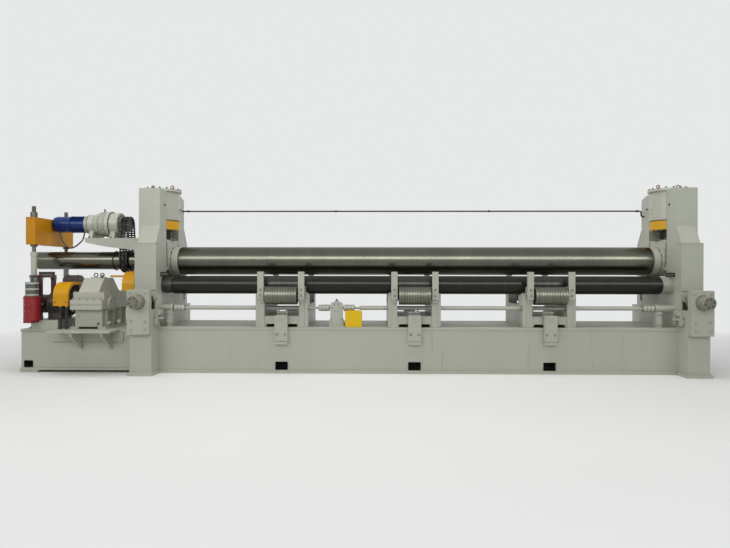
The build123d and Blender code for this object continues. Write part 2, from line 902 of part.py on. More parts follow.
# Grooved support rollers on their axles, one row in front and one behind
def support_rollers(y):
    grooves = int(support_long // support_groove_pitch) - 1
    axle_half = stand_half + stand_plate - axle_end_gap
    with BuildPart() as rollers:
        for x_mid in stand_xs:
            first = x_mid - (grooves - 1) * support_groove_pitch / 2
            with BuildSketch(Plane.XZ.offset(-y)):
                with Locations((x_mid, support_z + support_axle_dia / 4)):
                    Rectangle(2 * axle_half, support_axle_dia / 2)
                with Locations((x_mid, support_z + support_dia / 4)):
                    Rectangle(support_long, support_dia / 2)
                for i in range(grooves):
                    with Locations((first + i * support_groove_pitch, support_z + support_dia / 2)):
                        Rectangle(support_groove_wide, 2 * support_groove_deep, mode=Mode.SUBTRACT)
            revolve(axis=Axis((0, y, support_z), (1, 0, 0)))
    return rollers.part


save(support_rollers(-support_y), "front_support_rollers")
save(support_rollers(support_y), "rear_support_rollers")

# Guard bars bolted to the horns' front and rear edges
with BuildPart() as guard_bars:
    for x_mid in stand_xs:
        for side in both_sides:
            for y_side in both_sides:
                near = x_mid + side * stand_half
                box(
                    near,
                    near + side * guard_bar_width,
                    y_side * horn_half,
                    y_side * (horn_half + guard_bar_thick),
                    guard_bar_bottom,
                    guard_bar_top,
                )
save(guard_bars.part, "stand_guard_bars")

# Stop plates on the bed's front and rear, beside the stands
with BuildPart() as stops:
    lip_y = bed_depth / 2 + bed_lip
    for x_mid in stand_xs:
        x0 = x_mid - clamp_width / 2
        x1 = x_mid + clamp_width / 2
        for y_side in both_sides:
            box(x0, x1, y_side * lip_y, y_side * (lip_y + clamp_thick), clamp_bottom, clamp_top)
            box(x0, x1, y_side * bed_depth / 2, y_side * lip_y, clamp_bottom, bed_top - bed_top_plate)
save(stops.part, "stand_stop_plates")

# Synchronising shaft: stub ends, tubes between them and coupling sleeves
with BuildPart() as sync_shaft:
    sleeve_start = sync_box_width / 2 + sync_sleeve_gap
    tube_start = sleeve_start + sync_sleeve_long + sync_joint_long
    rod_x(sync_left_end + contact_gap, sync_right_end - contact_gap, sync_y, sync_z, sync_stub_dia)
    rod_x(sync_left_end + sync_stub_long, sync_box_x - tube_start, sync_y, sync_z, sync_tube_dia)
    rod_x(sync_box_x + tube_start, sync_right_end - sync_stub_long, sync_y, sync_z, sync_tube_dia)
    for x0 in (
        sync_left_end + sync_sleeve_inset,
        sync_box_x - sleeve_start - sync_sleeve_long,
        sync_box_x + sleeve_start,
        sync_right_end - sync_sleeve_inset - sync_sleeve_long,
    ):
        rod_x(x0, x0 + sync_sleeve_long, sync_y, sync_z, sync_sleeve_dia)
save(sync_shaft.part, "sync_shaft")

# Hubs that take the shaft's ends beside the frames, on their pedestals
with BuildPart() as sync_ends:
    for side, end in ((-1, sync_left_end), (1, sync_right_end)):
        rod_x(end, side * inner_x, sync_y, sync_z, sync_hub_dia)
        rod_x(end, end + side * sync_ring_thick, sync_y, sync_z, sync_ring_dia)
        near = end + side * end_clear
        box(
            near,
            near + side * sync_pedestal_long,
            sync_y - sync_pedestal_half,
            sync_y + sync_pedestal_half,
            bed_top,
            sync_z - sync_hub_dia / 2 + sync_pedestal_lap,
        )
save(sync_ends.part, "sync_end_boxes")

# Worm box in the middle of the shaft, narrow at the waist and round at the top
with BuildPart() as sync_box:
    foot_half = sync_box_base / 2
    foot_z = bed_top + sync_box_foot
    box(
        sync_box_x - foot_half,
        sync_box_x + foot_half,
        sync_y - sync_box_base_deep / 2,
        sync_y + sync_box_base_deep / 2,
        bed_top,
        foot_z,
    )
    with BuildSketch(Plane.XZ.offset(-(sync_y + sync_box_deep / 2))):
        with BuildLine():
            flare = sync_box_width / 2 + sync_box_waist / 2
            neck = sync_box_width / 2 - sync_box_waist
            Polyline(
                (sync_box_x - foot_half + sync_box_waist, foot_z),
                (sync_box_x + foot_half - sync_box_waist, foot_z),
                (sync_box_x + flare, sync_box_waist_z),
                (sync_box_x + neck, sync_box_waist_z),
                (sync_box_x + neck, sync_box_waist_z + sync_box_waist),
                (sync_box_x - neck, sync_box_waist_z + sync_box_waist),
                (sync_box_x - neck, sync_box_waist_z),
                (sync_box_x - flare, sync_box_waist_z),
                (sync_box_x - foot_half + sync_box_waist, foot_z),
            )
        make_face()
    extrude(amount=sync_box_deep)
    with BuildSketch(Plane.XZ.offset(-(sync_y + sync_box_deep / 2))) as crown:
        body_z = sync_box_waist_z + sync_box_waist
        with Locations((sync_box_x, (body_z + sync_box_top) / 2)):
            Rectangle(sync_box_width, sync_box_top - body_z)
        fillet(crown.vertices().group_by(Axis.Y)[-1], radius=sync_box_corner)
        with Locations((sync_box_x, sync_box_top)):
            Circle(sync_box_eye_dia / 2)
    extrude(amount=sync_box_deep)
    with Locations(Location((sync_box_x, sync_y, sync_z), (0, 90, 0))):
        Cylinder(sync_stub_dia / 2 + turning_gap, 2 * sync_box_width, mode=Mode.SUBTRACT)
save(sync_box.part, "sync_worm_box")

# Cover over the shaft's motor: high in front of the sleeve, low under it
with BuildPart() as sync_cover:
    step_y = sync_y - sync_sleeve_dia / 2 - end_clear
    with BuildSketch(Plane.XZ.offset(-step_y)) as face:
        with Locations((sync_cover_x, (bed_top + sync_cover_top) / 2)):
            Rectangle(sync_cover_width, sync_cover_top - bed_top)
        fillet(face.vertices().group_by(Axis.Y)[-1], radius=sync_cover_corner)
    extrude(amount=step_y - sync_cover_front)
    half = sync_cover_width / 2
    low_top = sync_z - sync_sleeve_dia / 2 - 3 * end_clear
    box(sync_cover_x - half, sync_cover_x + half, step_y, sync_cover_rear, bed_top, low_top)
save(sync_cover.part, "sync_motor_cover")


# Main reducer: a ribbed case and a humped cover, bolted together at the split
def reducer_half(grow, case):
    half = reducer_width / 2
    wide = reducer_flange_width / 2
    front = reducer_y - reducer_depth / 2
    rear = reducer_y + reducer_depth / 2
    flange_front = front - reducer_nose
    flange_rear = rear + reducer_flange_edge
    flange_z = reducer_split_z + grow * reducer_flange
    with BuildPart() as shell:
        box(reducer_x - wide, reducer_x + wide, flange_front, flange_rear, reducer_split_z, flange_z)
        # One half of the boss round the output shaft, which lies in the split
        with BuildSketch(Plane.YZ.offset(reducer_x + half)):
            with Locations((-lower_y, reducer_split_z)):
                Circle(output_boss_dia / 2)
            with Locations((-lower_y, reducer_split_z - grow * output_boss_dia / 2)):
                Rectangle(2 * output_boss_dia, output_boss_dia, mode=Mode.SUBTRACT)
        extrude(amount=output_boss_long)
        if case:
            box(reducer_x - half, reducer_x + half, front, rear, reducer_foot_top, flange_z)
            for side in both_sides:
                box(
                    reducer_x + side * (half - reducer_foot_in),
                    reducer_x + side * (half + reducer_foot_out),
                    front - reducer_foot_edge,
                    rear + reducer_foot_edge,
                    drive_bed_top,
                    reducer_foot_top,
                )
                rib_pitch = reducer_depth / reducer_rib_count
                for i in range(reducer_rib_count):
                    y = front + (i + 0.5) * rib_pitch
                    box(
                        reducer_x + side * half,
                        reducer_x + side * wide,
                        y - reducer_rib_thick / 2,
                        y + reducer_rib_thick / 2,
                        reducer_foot_top,
                        flange_z,
                    )
        else:
            band = reducer_band_width / 2
            box(reducer_x - band, reducer_x + band, front, rear, flange_z, reducer_band_top)
            with BuildSketch(Plane.YZ.offset(reducer_x - reducer_cover_width / 2)):
                with BuildLine():
                    Polyline(
                        (front, reducer_band_top),
                        (reducer_roof_front, reducer_top),
                        (reducer_roof_rear, reducer_top),
                        (reducer_tail_y, reducer_band_top),
                        (front, reducer_band_top),
                    )
                make_face()
            extrude(amount=reducer_cover_width)
    return shell.part


save(reducer_half(-1, True), "main_reducer_case")
save(reducer_half(1, False), "main_reducer_cover")

# Plinth, motor and drum brake
with BuildPart() as plinth:
    box(plinth_x0, plinth_x1, bed_front, plinth_rear, drive_bed_top, plinth_top)
save(plinth.part, "motor_plinth")

with BuildPart() as main_motor:
    radius = motor_dia / 2
    with BuildSketch(Plane.XZ.offset(-motor_axis_y)):
        with BuildLine():
            Polyline(
                (motor_x0, motor_axis_z),
                (motor_x0, motor_axis_z + radius - motor_bell),
                (motor_x0 + motor_bell, motor_axis_z + radius),
                (motor_x1 - motor_bell, motor_axis_z + radius),
                (motor_x1, motor_axis_z + radius - motor_bell),
                (motor_x1, motor_axis_z),
                (motor_x0, motor_axis_z),
            )
        make_face()
    revolve(axis=Axis((0, motor_axis_y, motor_axis_z), (1, 0, 0)))
    box(
        motor_x0 + motor_bell,
        plinth_x1 - motor_foot_edge,
        motor_axis_y - motor_foot_half,
        motor_axis_y + motor_foot_half,
        plinth_top,
        motor_axis_z - radius / 2,
    )
    shaft_end = reducer_x - reducer_flange_width / 2
    coupling_x = (motor_x1 + shaft_end + coupling_shift) / 2
    rod_x(motor_x1, shaft_end, motor_axis_y, motor_axis_z, motor_shaft_dia)
    rod_x(coupling_x - coupling_long / 2, coupling_x + coupling_long / 2, motor_axis_y, motor_axis_z, coupling_dia)
    with BuildSketch(Plane.XZ.offset(-terminal_box_y0)) as lid:
        with Locations(((terminal_box_x0 + terminal_box_x1) / 2, (terminal_box_bottom + terminal_box_top) / 2)):
            Rectangle(terminal_box_x1 - terminal_box_x0, terminal_box_top - terminal_box_bottom)
        fillet(lid.vertices().group_by(Axis.Y)[-1], radius=terminal_box_radius)
    extrude(amount=terminal_box_y0 - terminal_box_y1)
save(main_motor.part, "main_motor")

with BuildPart() as brake_drum:
    drum_end = brake_x + brake_drum_wide / 2
    rod_x(brake_x - brake_drum_wide / 2, drum_end, motor_axis_y, motor_axis_z, brake_drum_dia)
    rod_x(drum_end, motor_x0, motor_axis_y, motor_axis_z, motor_shaft_dia)
save(brake_drum.part, "brake_drum")

with BuildPart() as brake_frame:
    arm_in = brake_drum_dia / 2 + brake_arm_gap
    arm_out = arm_in + brake_arm_deep
    lever_out = arm_out + brake_lever_over
    half = brake_arm_wide / 2
    for y_side in both_sides:
        box(
            brake_x - half,
            brake_x + half,
            motor_axis_y + y_side * arm_in,
            motor_axis_y + y_side * arm_out,
            plinth_top,
            brake_top,
        )
    half = brake_lever_wide / 2
    box(
        brake_x - half,
        brake_x + half,
        motor_axis_y - lever_out,
        motor_axis_y + lever_out,
        brake_top,
        brake_top + brake_lever_high,
    )
save(brake_frame.part, "brake_frame")

# Thruster that opens the brake, on a bracket in front of the plinth
thruster_x = brake_x - thruster_offset
with BuildPart() as thruster:
    rod_z(thruster_x, thruster_y, plinth_top, thruster_top, thruster_dia)
    box(
        thruster_x - thruster_bracket / 2,
        thruster_x + thruster_bracket / 2,
        thruster_y - thruster_dia / 2,
        bed_front,
        plinth_top - thruster_bracket_thick,
        plinth_top,
    )
save(thruster.part, "brake_thruster")

with BuildPart() as thruster_head:
    rod_z(thruster_x, thruster_y, thruster_top, thruster_neck_top, thruster_neck_dia)
    rod_z(thruster_x, thruster_y, thruster_neck_top, brake_top + brake_lever_high / 2, thruster_rod_dia)
    half = brake_lever_wide / 2
    box(
        thruster_x - half,
        thruster_x + half,
        thruster_y - half,
        motor_axis_y - lever_out,
        brake_top,
        brake_top + brake_lever_high,
    )
save(thruster_head.part, "brake_thruster_head")

# Guard over the coupling: one bent sheet with a lip at each end, on two legs
with BuildPart() as shaft_guard:
    guard_x0 = shaft_guard_x - shaft_guard_wide / 2
    guard_x1 = shaft_guard_x + shaft_guard_wide / 2
    arc_y = shaft_guard_front + shaft_guard_radius
    for x0, x1, depth in (
        (guard_x0, guard_x1, guard_sheet),
        (guard_x0, guard_x0 + guard_sheet, guard_lip),
        (guard_x1 - guard_sheet, guard_x1, guard_lip),
    ):
        with BuildSketch(Plane.YZ.offset(x0)):
            for inset, mode in ((0, Mode.ADD), (depth, Mode.SUBTRACT)):
                radius = shaft_guard_radius - inset
                wall_y = shaft_guard_front + inset
                crown = shaft_guard_crown_z + radius
                with BuildLine():
                    Line((wall_y, shaft_guard_bottom), (wall_y, shaft_guard_crown_z))
                    CenterArc((arc_y, shaft_guard_crown_z), radius, 180, -90)
                    Polyline(
                        (arc_y, crown),
                        (shaft_guard_rear, crown),
                        (shaft_guard_rear, shaft_guard_bottom),
                        (wall_y, shaft_guard_bottom),
                    )
                make_face(mode=mode)
        extrude(amount=x1 - x0)
    for leg_x in (shaft_guard_x + guard_leg_wide / 2, guard_x1):
        box(
            leg_x - guard_leg_wide,
            leg_x,
            shaft_guard_front,
            shaft_guard_front + guard_sheet,
            drive_bed_top,
            shaft_guard_bottom,
        )
save(shaft_guard.part, "shaft_guard")

# Arched guard over the gears of the front roll, open below, with a bar beside it
with BuildPart() as gear_guard:
    guard_x0 = gear_guard_x - gear_guard_wide / 2
    for inset, mode in ((0, Mode.ADD), (guard_sheet, Mode.SUBTRACT)):
        radius = gear_guard_radius - inset
        with BuildSketch(Plane.YZ.offset(guard_x0 + inset)):
            with BuildLine():
                Line((-lower_y + radius, gear_guard_bottom), (-lower_y + radius, lower_z))
                CenterArc((-lower_y, lower_z), radius, 0, 180)
                Polyline(
                    (-lower_y - radius, lower_z),
                    (-lower_y - radius, gear_guard_bottom),
                    (-lower_y + radius, gear_guard_bottom),
                )
            make_face()
        extrude(amount=gear_guard_wide - 2 * inset, mode=mode)
    slot_top = lower_z + guard_slot / 2
    with Locations((gear_guard_x, -lower_y, (gear_guard_bottom + slot_top) / 2)):
        Box(gear_guard_wide, guard_slot, slot_top - gear_guard_bottom, mode=Mode.SUBTRACT)
    for y_side in both_sides:
        box(
            gear_guard_x + gear_guard_wide / 2 - guard_leg_wide,
            -outer_x,
            -lower_y + y_side * gear_guard_radius,
            -lower_y + y_side * (gear_guard_radius - guard_sheet),
            gear_guard_bottom,
            gear_guard_bottom + guard_lip,
        )
    box(bar_x0, guard_x0, bar_y - bar_deep / 2, bar_y + bar_deep / 2, bar_bottom, bar_top)
save(gear_guard.part, "gear_guard")

# Upper roll's drive: bracket with curved cheeks, planetary reducer and motor
with BuildPart() as drive_bracket:
    shelf_under = drive_shelf_top - drive_shelf_thick
    box(drive_shelf_x0, -outer_x, -drive_shelf_half, drive_shelf_half, shelf_under, drive_shelf_top)
    with Locations((chain_x, 0, drive_shelf_top - drive_shelf_thick / 2)):
        Box(
            chain_wide + 2 * shelf_slot_room,
            2 * (tail_pitch_radius + chain_plate_high / 2) + shelf_slot_room,
            drive_shelf_thick + 2,
            mode=Mode.SUBTRACT,
        )
    for y_side in both_sides:
        with BuildSketch(Plane.XZ.offset(-y_side * drive_shelf_half)):
            with BuildLine():
                Line((drive_shelf_x0, cheek_tip_z), (drive_shelf_x0, shelf_under))
                Line((drive_shelf_x0, shelf_under), (-outer_x, shelf_under))
                Line((-outer_x, shelf_under), (-outer_x, cheek_root_z))
                ThreePointArc((-outer_x, cheek_root_z), (cheek_bend_x, cheek_bend_z), (drive_shelf_x0, cheek_tip_z))
            make_face()
        extrude(amount=y_side * cheek_thick)
save(drive_bracket.part, "drive_bracket")

with BuildPart() as planetary:
    with BuildSketch(Plane.XZ):
        with BuildLine():
            points = [(planetary_steps[0][0], drive_axis_z)]
            for x, radius in planetary_steps:
                points.append((x, drive_axis_z + radius))
            points.append((planetary_end_x, drive_axis_z))
            points.append(points[0])
            Polyline(*points)
        make_face()
    revolve(axis=Axis((0, 0, drive_axis_z), (1, 0, 0)))
    for foot_x0, foot_x1 in planetary_feet:
        with BuildSketch(Plane.YZ.offset(foot_x0)):
            with BuildLine():
                Polyline(
                    (-planetary_foot_half, drive_shelf_top),
                    (planetary_foot_half, drive_shelf_top),
                    (planetary_foot_half - planetary_foot_lean, planetary_foot_top),
                    (-planetary_foot_half + planetary_foot_lean, planetary_foot_top),
                    (-planetary_foot_half, drive_shelf_top),
                )
            make_face()
        extrude(amount=foot_x1 - foot_x0)
save(planetary.part, "planetary_reducer")

with BuildPart() as top_motor:
    with BuildSketch(Plane.XZ):
        with BuildLine():
            body = top_motor_dia / 2 - top_motor_step
            cover = top_motor_dia / 2
            sag = top_motor_round * (1 - sqrt(0.5))
            corner_z = drive_axis_z + cover - top_motor_round
            ThreePointArc(
                (top_motor_x0, corner_z),
                (top_motor_x0 + sag, drive_axis_z + cover - sag),
                (top_motor_x0 + top_motor_round, drive_axis_z + cover),
            )
            Polyline(
                (top_motor_x0 + top_motor_round, drive_axis_z + cover),
                (fan_cover_end_x, drive_axis_z + cover),
                (fan_cover_end_x, drive_axis_z + body),
                (planetary_steps[0][0], drive_axis_z + body),
                (planetary_steps[0][0], drive_axis_z),
                (top_motor_x0, drive_axis_z),
                (top_motor_x0, corner_z),
            )
        make_face()
    revolve(axis=Axis((0, 0, drive_axis_z), (1, 0, 0)))
save(top_motor.part, "top_drive_motor")


# Sprockets: toothless double discs that run just inside the chain's rollers
def sprocket(pitch_radius, axis_z, bore_radius):
    rim = pitch_radius - chain_roller_dia / 2 - chain_clear
    waist = pitch_radius - chain_plate_high / 2 - end_clear
    half = chain_wide / 2 - chain_plate_thick - chain_side_gap
    slot = chain_plate_thick / 2 + chain_side_gap
    with BuildPart() as wheel:
        with BuildSketch(Plane.XZ):
            with BuildLine():
                Polyline(
                    (chain_x - half, axis_z + bore_radius),
                    (chain_x - half, axis_z + rim),
                    (chain_x - slot, axis_z + rim),
                    (chain_x - slot, axis_z + waist),
                    (chain_x + slot, axis_z + waist),
                    (chain_x + slot, axis_z + rim),
                    (chain_x + half, axis_z + rim),
                    (chain_x + half, axis_z + bore_radius),
                    (chain_x - half, axis_z + bore_radius),
                )
            make_face()
        revolve(axis=Axis((0, 0, axis_z), (1, 0, 0)))
        if not bore_radius:
            rod_x(planetary_end_x + contact_gap, chain_x - half, 0, axis_z, sprocket_hub_dia)
    return wheel.part


save(sprocket(tail_pitch_radius, upper_z, upper_neck_dia / 2), "tail_sprocket")
save(sprocket(drive_pitch_radius, drive_axis_z, 0), "drive_sprocket")

# Duplex roller chain: three rows of side plates as smooth rings, and its rollers
with BuildPart() as chain:
    lean = (tail_pitch_radius - drive_pitch_radius) / shaft_distance
    flat = sqrt(1 - lean**2)
    for middle in (-1, 0, 1):
        x0 = chain_x + middle * (chain_wide - chain_plate_thick) / 2 - chain_plate_thick / 2
        with BuildSketch(Plane.YZ.offset(x0)):
            for grow, mode in ((chain_plate_high / 2, Mode.ADD), (-chain_plate_high / 2, Mode.SUBTRACT)):
                r_top = drive_pitch_radius + grow
                r_bottom = tail_pitch_radius + grow
                with BuildLine():
                    Polyline(
                        (-r_top * flat, drive_axis_z + r_top * lean),
                        (r_top * flat, drive_axis_z + r_top * lean),
                        (r_bottom * flat, upper_z + r_bottom * lean),
                        (-r_bottom * flat, upper_z + r_bottom * lean),
                        (-r_top * flat, drive_axis_z + r_top * lean),
                    )
                make_face(mode=mode)
                with Locations((0, drive_axis_z)):
                    Circle(r_top, mode=mode)
                with Locations((0, upper_z)):
                    Circle(r_bottom, mode=mode)
        extrude(amount=chain_plate_thick)
    # Walk once round the loop: over the top wheel, down, under the bottom one, up
    top_links = (0.5 - wrap_lean / pi) * drive_teeth
    low_links = (0.5 + wrap_lean / pi) * tail_teeth
    side_links = (chain_links - top_links - low_links) / 2
    side_drop = shaft_distance - (tail_pitch_radius - drive_pitch_radius) * lean
    side_reach = (tail_pitch_radius - drive_pitch_radius) * flat
    spots = []
    for link in range(chain_links):
        down = link - top_links
        under = down - side_links
        up = under - low_links
        if down < 0:
            turn = wrap_lean + link * 2 * pi / drive_teeth
            spots.append((drive_pitch_radius * cos(turn), drive_axis_z + drive_pitch_radius * sin(turn)))
        elif under < 0:
            part_way = down / side_links
            start_z = drive_axis_z + drive_pitch_radius * lean
            spots.append((-drive_pitch_radius * flat - part_way * side_reach, start_z - part_way * side_drop))
        elif up < 0:
            turn = pi - wrap_lean + under * 2 * pi / tail_teeth
            spots.append((tail_pitch_radius * cos(turn), upper_z + tail_pitch_radius * sin(turn)))
        else:
            part_way = up / side_links
            start_z = upper_z + tail_pitch_radius * lean
            spots.append((tail_pitch_radius * flat - part_way * side_reach, start_z + part_way * side_drop))
    with BuildSketch(Plane.YZ.offset(chain_x - chain_wide / 2 + chain_plate_thick / 2)):
        with Locations(*spots):
            Circle(chain_roller_dia / 2)
    extrude(amount=chain_wide - chain_plate_thick)
save(chain.part, "drive_chain")

# Tail clamp: a yellow beam on two rods, in cylinders that stand on the drive bed
with BuildPart() as tail_beam:
    half = tail_beam_thick / 2
    deep = tail_beam_depth / 2
    box(tail_beam_x - half, tail_beam_x + half, -deep, deep, tail_beam_bottom, tail_beam_top)
    for y_side in both_sides:
        with Locations((tail_beam_x, y_side * tail_post_y, (tail_beam_bottom + tail_beam_top) / 2)):
            Cylinder(tail_rod_dia / 2, tail_beam_top - tail_beam_bottom, mode=Mode.SUBTRACT)
save(tail_beam.part, "tail_beam")

with BuildPart() as tail_rods:
    for y_side in both_sides:
        y = y_side * tail_post_y
        rod_z(tail_beam_x, y, tail_rod_foot, tail_rod_top, tail_rod_dia)
        rod_z(tail_beam_x, y, tail_beam_bottom - tail_collar_high, tail_beam_bottom, tail_nut_dia)
        rod_z(tail_beam_x, y, tail_beam_top, tail_beam_top + tail_nut_high, tail_nut_dia)
save(tail_rods.part, "tail_rods")

with BuildPart() as tail_cylinders:
    bore_foot = tail_rod_foot - lift_down - lift_cushion
    for y_side in both_sides:
        with BuildSketch(Plane.XY.offset(drive_bed_top)):
            with Locations((tail_beam_x, y_side * tail_post_y)):
                Circle(tail_post_dia / 2)
        extrude(amount=tail_post_top - drive_bed_top)
        with BuildSketch(Plane.XY.offset(bore_foot)):
            with Locations((tail_beam_x, y_side * tail_post_y)):
                Circle(tail_rod_dia / 2 + rod_gap)
        extrude(amount=tail_post_top - bore_foot, mode=Mode.SUBTRACT)
save(tail_cylinders.part, "tail_cylinders")

# Hydraulic line across the top, stepping down at the right frame
with BuildPart() as line:
    with BuildLine() as path:
        FilletPolyline(
            (-inner_x, line_y, line_z),
            (line_step_x, line_y, line_z),
            (line_step_x, line_y, line_end_z),
            (inner_x, line_y, line_end_z),
            radius=line_bend,
        )
    with BuildSketch(Plane(origin=(-inner_x, line_y, line_z), z_dir=(1, 0, 0))):
        Circle(line_dia / 2)
    sweep()
save(line.part, "hydraulic_line")
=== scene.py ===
"""Long three-roll plate rolling machine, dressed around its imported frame.

The frame's solids are the machine's rigid pieces and keep their shapes here.
This script paints and wears them and adds what is too fine for them: bolts,
nuts, welds, cooling fins, link plates, a cable and fittings.  Lengths are in
metres, X runs along the rolls, Y to the rear and Z up from the floor.
"""

from math import asin, cos, pi, radians, sin

import bmesh
import bpy
from mathutils import Matrix, Vector


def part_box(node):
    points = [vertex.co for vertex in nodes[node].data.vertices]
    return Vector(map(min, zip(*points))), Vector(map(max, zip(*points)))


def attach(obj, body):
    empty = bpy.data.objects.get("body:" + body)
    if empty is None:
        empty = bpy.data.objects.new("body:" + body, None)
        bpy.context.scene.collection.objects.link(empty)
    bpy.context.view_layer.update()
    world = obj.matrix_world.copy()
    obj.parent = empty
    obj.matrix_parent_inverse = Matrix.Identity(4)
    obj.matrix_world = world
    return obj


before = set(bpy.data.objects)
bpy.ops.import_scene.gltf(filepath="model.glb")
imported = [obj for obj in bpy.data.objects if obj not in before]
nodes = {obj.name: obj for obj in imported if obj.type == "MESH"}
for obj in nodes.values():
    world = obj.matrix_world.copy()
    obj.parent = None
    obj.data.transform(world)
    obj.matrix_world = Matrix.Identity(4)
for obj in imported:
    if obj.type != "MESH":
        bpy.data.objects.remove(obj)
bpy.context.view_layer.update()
scene = bpy.context.scene
scene.view_settings.view_transform = "Standard"

# Camera.
# It stands at a person's eye level in front of the machine and looks straight
# at it through a lens of moderate width, as the photograph does.
EYE = (-0.665, -9.293, 1.607)
EYE_YAW = 0.0165
EYE_PITCH = -0.0036
EYE_ROLL = -0.0013
SENSOR_WIDE = 36.0
FOCAL_SHARE = 548 / 730

camera_data = bpy.data.cameras.new("camera")
camera_data.sensor_fit = "HORIZONTAL"
camera_data.sensor_width = SENSOR_WIDE
camera_data.lens = SENSOR_WIDE * FOCAL_SHARE
camera_data.clip_end = 200.0
camera = bpy.data.objects.new("camera", camera_data)
camera.location = EYE
camera.rotation_euler = (pi / 2 + EYE_PITCH, EYE_ROLL, EYE_YAW)
scene.collection.objects.link(camera)
scene.camera = camera


# Floor, backdrop and light.
# A pale matt floor runs to a pale surround.  Large soft lamps overhead and a low
# bright strip in front stand for a workshop's roof lights and open doors.
def through(operation, swapped=False):
    """A method of Wire that puts the wire and one more value through a Math node."""
    if swapped:
        return lambda wire, other: wire.math(operation, other, wire)
    return lambda wire, other: wire.math(operation, wire, other)


class Wire:
    """A socket of a node tree; sums on it add Math nodes."""

    def __init__(self, tree, socket):
        self.tree = tree
        self.socket = socket

    def math(self, operation, *values):
        node = self.tree.nodes.new("ShaderNodeMath")
        node.operation = operation
        for socket, value in zip(node.inputs, values):
            plug(self.tree, socket, value)
        return Wire(self.tree, node.outputs[0])

    __add__ = __radd__ = through("ADD")
    __sub__ = through("SUBTRACT")
    __rsub__ = through("SUBTRACT", swapped=True)
    __mul__ = __rmul__ = through("MULTIPLY")
    __truediv__ = through("DIVIDE")
    __pow__ = through("POWER")
    most = through("MAXIMUM")

    def __abs__(self):
        return self.math("ABSOLUTE", self)

    def clamp(self):
        wire = self + 0.0
        wire.socket.node.use_clamp = True
        return wire

    def step(self, low, high):
        """0 below low, 1 above high, a straight ramp between."""
        return ((self - low) / (high - low)).clamp()


def plug(tree, socket, value):
    """Link a wire to a socket, or set the socket's own value."""
    if isinstance(value, Wire):
        tree.links.new(value.socket, socket)
    else:
        socket.default_value = value


class Shading:
    """The cleared shader tree of a material or a world, with one method for any node."""

    def __init__(self, owner):
        owner.use_nodes = True
        self.tree = owner.node_tree
        self.tree.nodes.clear()

    def add(self, kind, settings=None, sockets=None):
        node = self.tree.nodes.new(kind)
        for key, value in (settings or {}).items():
            setattr(node, key, value)
        for key, value in (sockets or {}).items():
            plug(self.tree, node.inputs[key], value)
        return {output.name: Wire(self.tree, output) for output in node.outputs if output.enabled}


class Finish(Shading):
    """One material and its place on the piece."""

    def __init__(self, name):
        self.material = bpy.data.materials.new(name)
        super().__init__(self.material)
        self.place = self.add("ShaderNodeTexCoord")["Object"]
        parts = self.add("ShaderNodeSeparateXYZ", sockets={"Vector": self.place})
        self.x, self.y, self.z = parts["X"], parts["Y"], parts["Z"]

    def noise(self, scale, detail=4.0, rough=0.5, stretch=(1.0, 1.0, 1.0)):
        """Noise from 0 to 1 with features about 1 / scale metres across, drawn out by stretch."""
        vector = self.place
        if stretch != (1.0, 1.0, 1.0):
            vector = self.add("ShaderNodeMapping", sockets={"Vector": self.place, "Scale": stretch})["Vector"]
        sockets = {"Vector": vector, "Scale": scale, "Detail": detail, "Roughness": rough}
        return self.add("ShaderNodeTexNoise", sockets=sockets)["Fac"]

    def mix(self, share, first, second):
        """Blend two colours."""
        first, second = (tone if isinstance(tone, Wire) else (*tone, 1.0) for tone in (first, second))
        sockets = {0: share, 6: first, 7: second}
        return self.add("ShaderNodeMix", {"data_type": "RGBA"}, sockets)["Result"]

    def bump(self, height, strength=0.3, distance=0.001):
        sockets = {"Height": height, "Strength": strength, "Distance": distance}
        return self.add("ShaderNodeBump", sockets=sockets)["Normal"]

    def surface(self, **values):
        """A Principled shader; keys are its sockets' names with underscores."""
        sockets = {key.replace("_", " ").title().replace("Ior", "IOR"): values[key] for key in values}
        return self.add("ShaderNodeBsdfPrincipled", sockets=sockets)["BSDF"]

    def close(self, shader):
        """Put a shader on the material's output."""
        self.add("ShaderNodeOutputMaterial", sockets={"Surface": shader})
        return self.material

    def shade(self, **values):
        """Close the tree with one Principled shader."""
        return self.close(self.surface(**values))


WORLD_COLOUR = (0.80, 0.81, 0.81)
WORLD_LEVEL = 0.40
BACKDROP_LEVEL = 1.0
FLOOR_HALF = 60.0


def surround_light(shading, kind):
    """A light of the surround's tone: full to the eye and in metal, less as light."""
    ray = shading.add("ShaderNodeLightPath")
    seen = ray["Is Camera Ray"].most(ray["Is Glossy Ray"]).most(ray["Is Transmission Ray"])
    level = WORLD_LEVEL + seen * (BACKDROP_LEVEL - WORLD_LEVEL)
    outputs = shading.add(kind, sockets={"Color": (*WORLD_COLOUR, 1.0), "Strength": level})
    return next(iter(outputs.values()))


def pale_ground():
    """Matt pale floor; far away it takes the surround's own tone, so no horizon shows."""
    finish = Finish("pale_floor")
    patch = finish.noise(0.6, detail=6.0)
    colour = finish.mix(patch, (0.73, 0.735, 0.725), (0.77, 0.775, 0.765))
    near = finish.surface(base_color=colour, roughness=0.8, specular_ior_level=0.2)
    along = finish.x * 0.5
    distance = (along * along + finish.y * finish.y) ** 0.5
    glow = surround_light(finish, "ShaderNodeEmission")
    sockets = {0: distance.step(3.6, 7.5), 1: near, 2: glow}
    return finish.close(finish.add("ShaderNodeMixShader", sockets=sockets)["Shader"])


floor_mesh = bpy.data.meshes.new("floor")
corners = [(x * FLOOR_HALF, y * FLOOR_HALF, 0.0) for x, y in ((-1, -1), (1, -1), (1, 1), (-1, 1))]
floor_mesh.from_pydata(corners, [], [(0, 1, 2, 3)])
floor = bpy.data.objects.new("floor", floor_mesh)
floor_mesh.materials.append(pale_ground())
scene.collection.objects.link(floor)

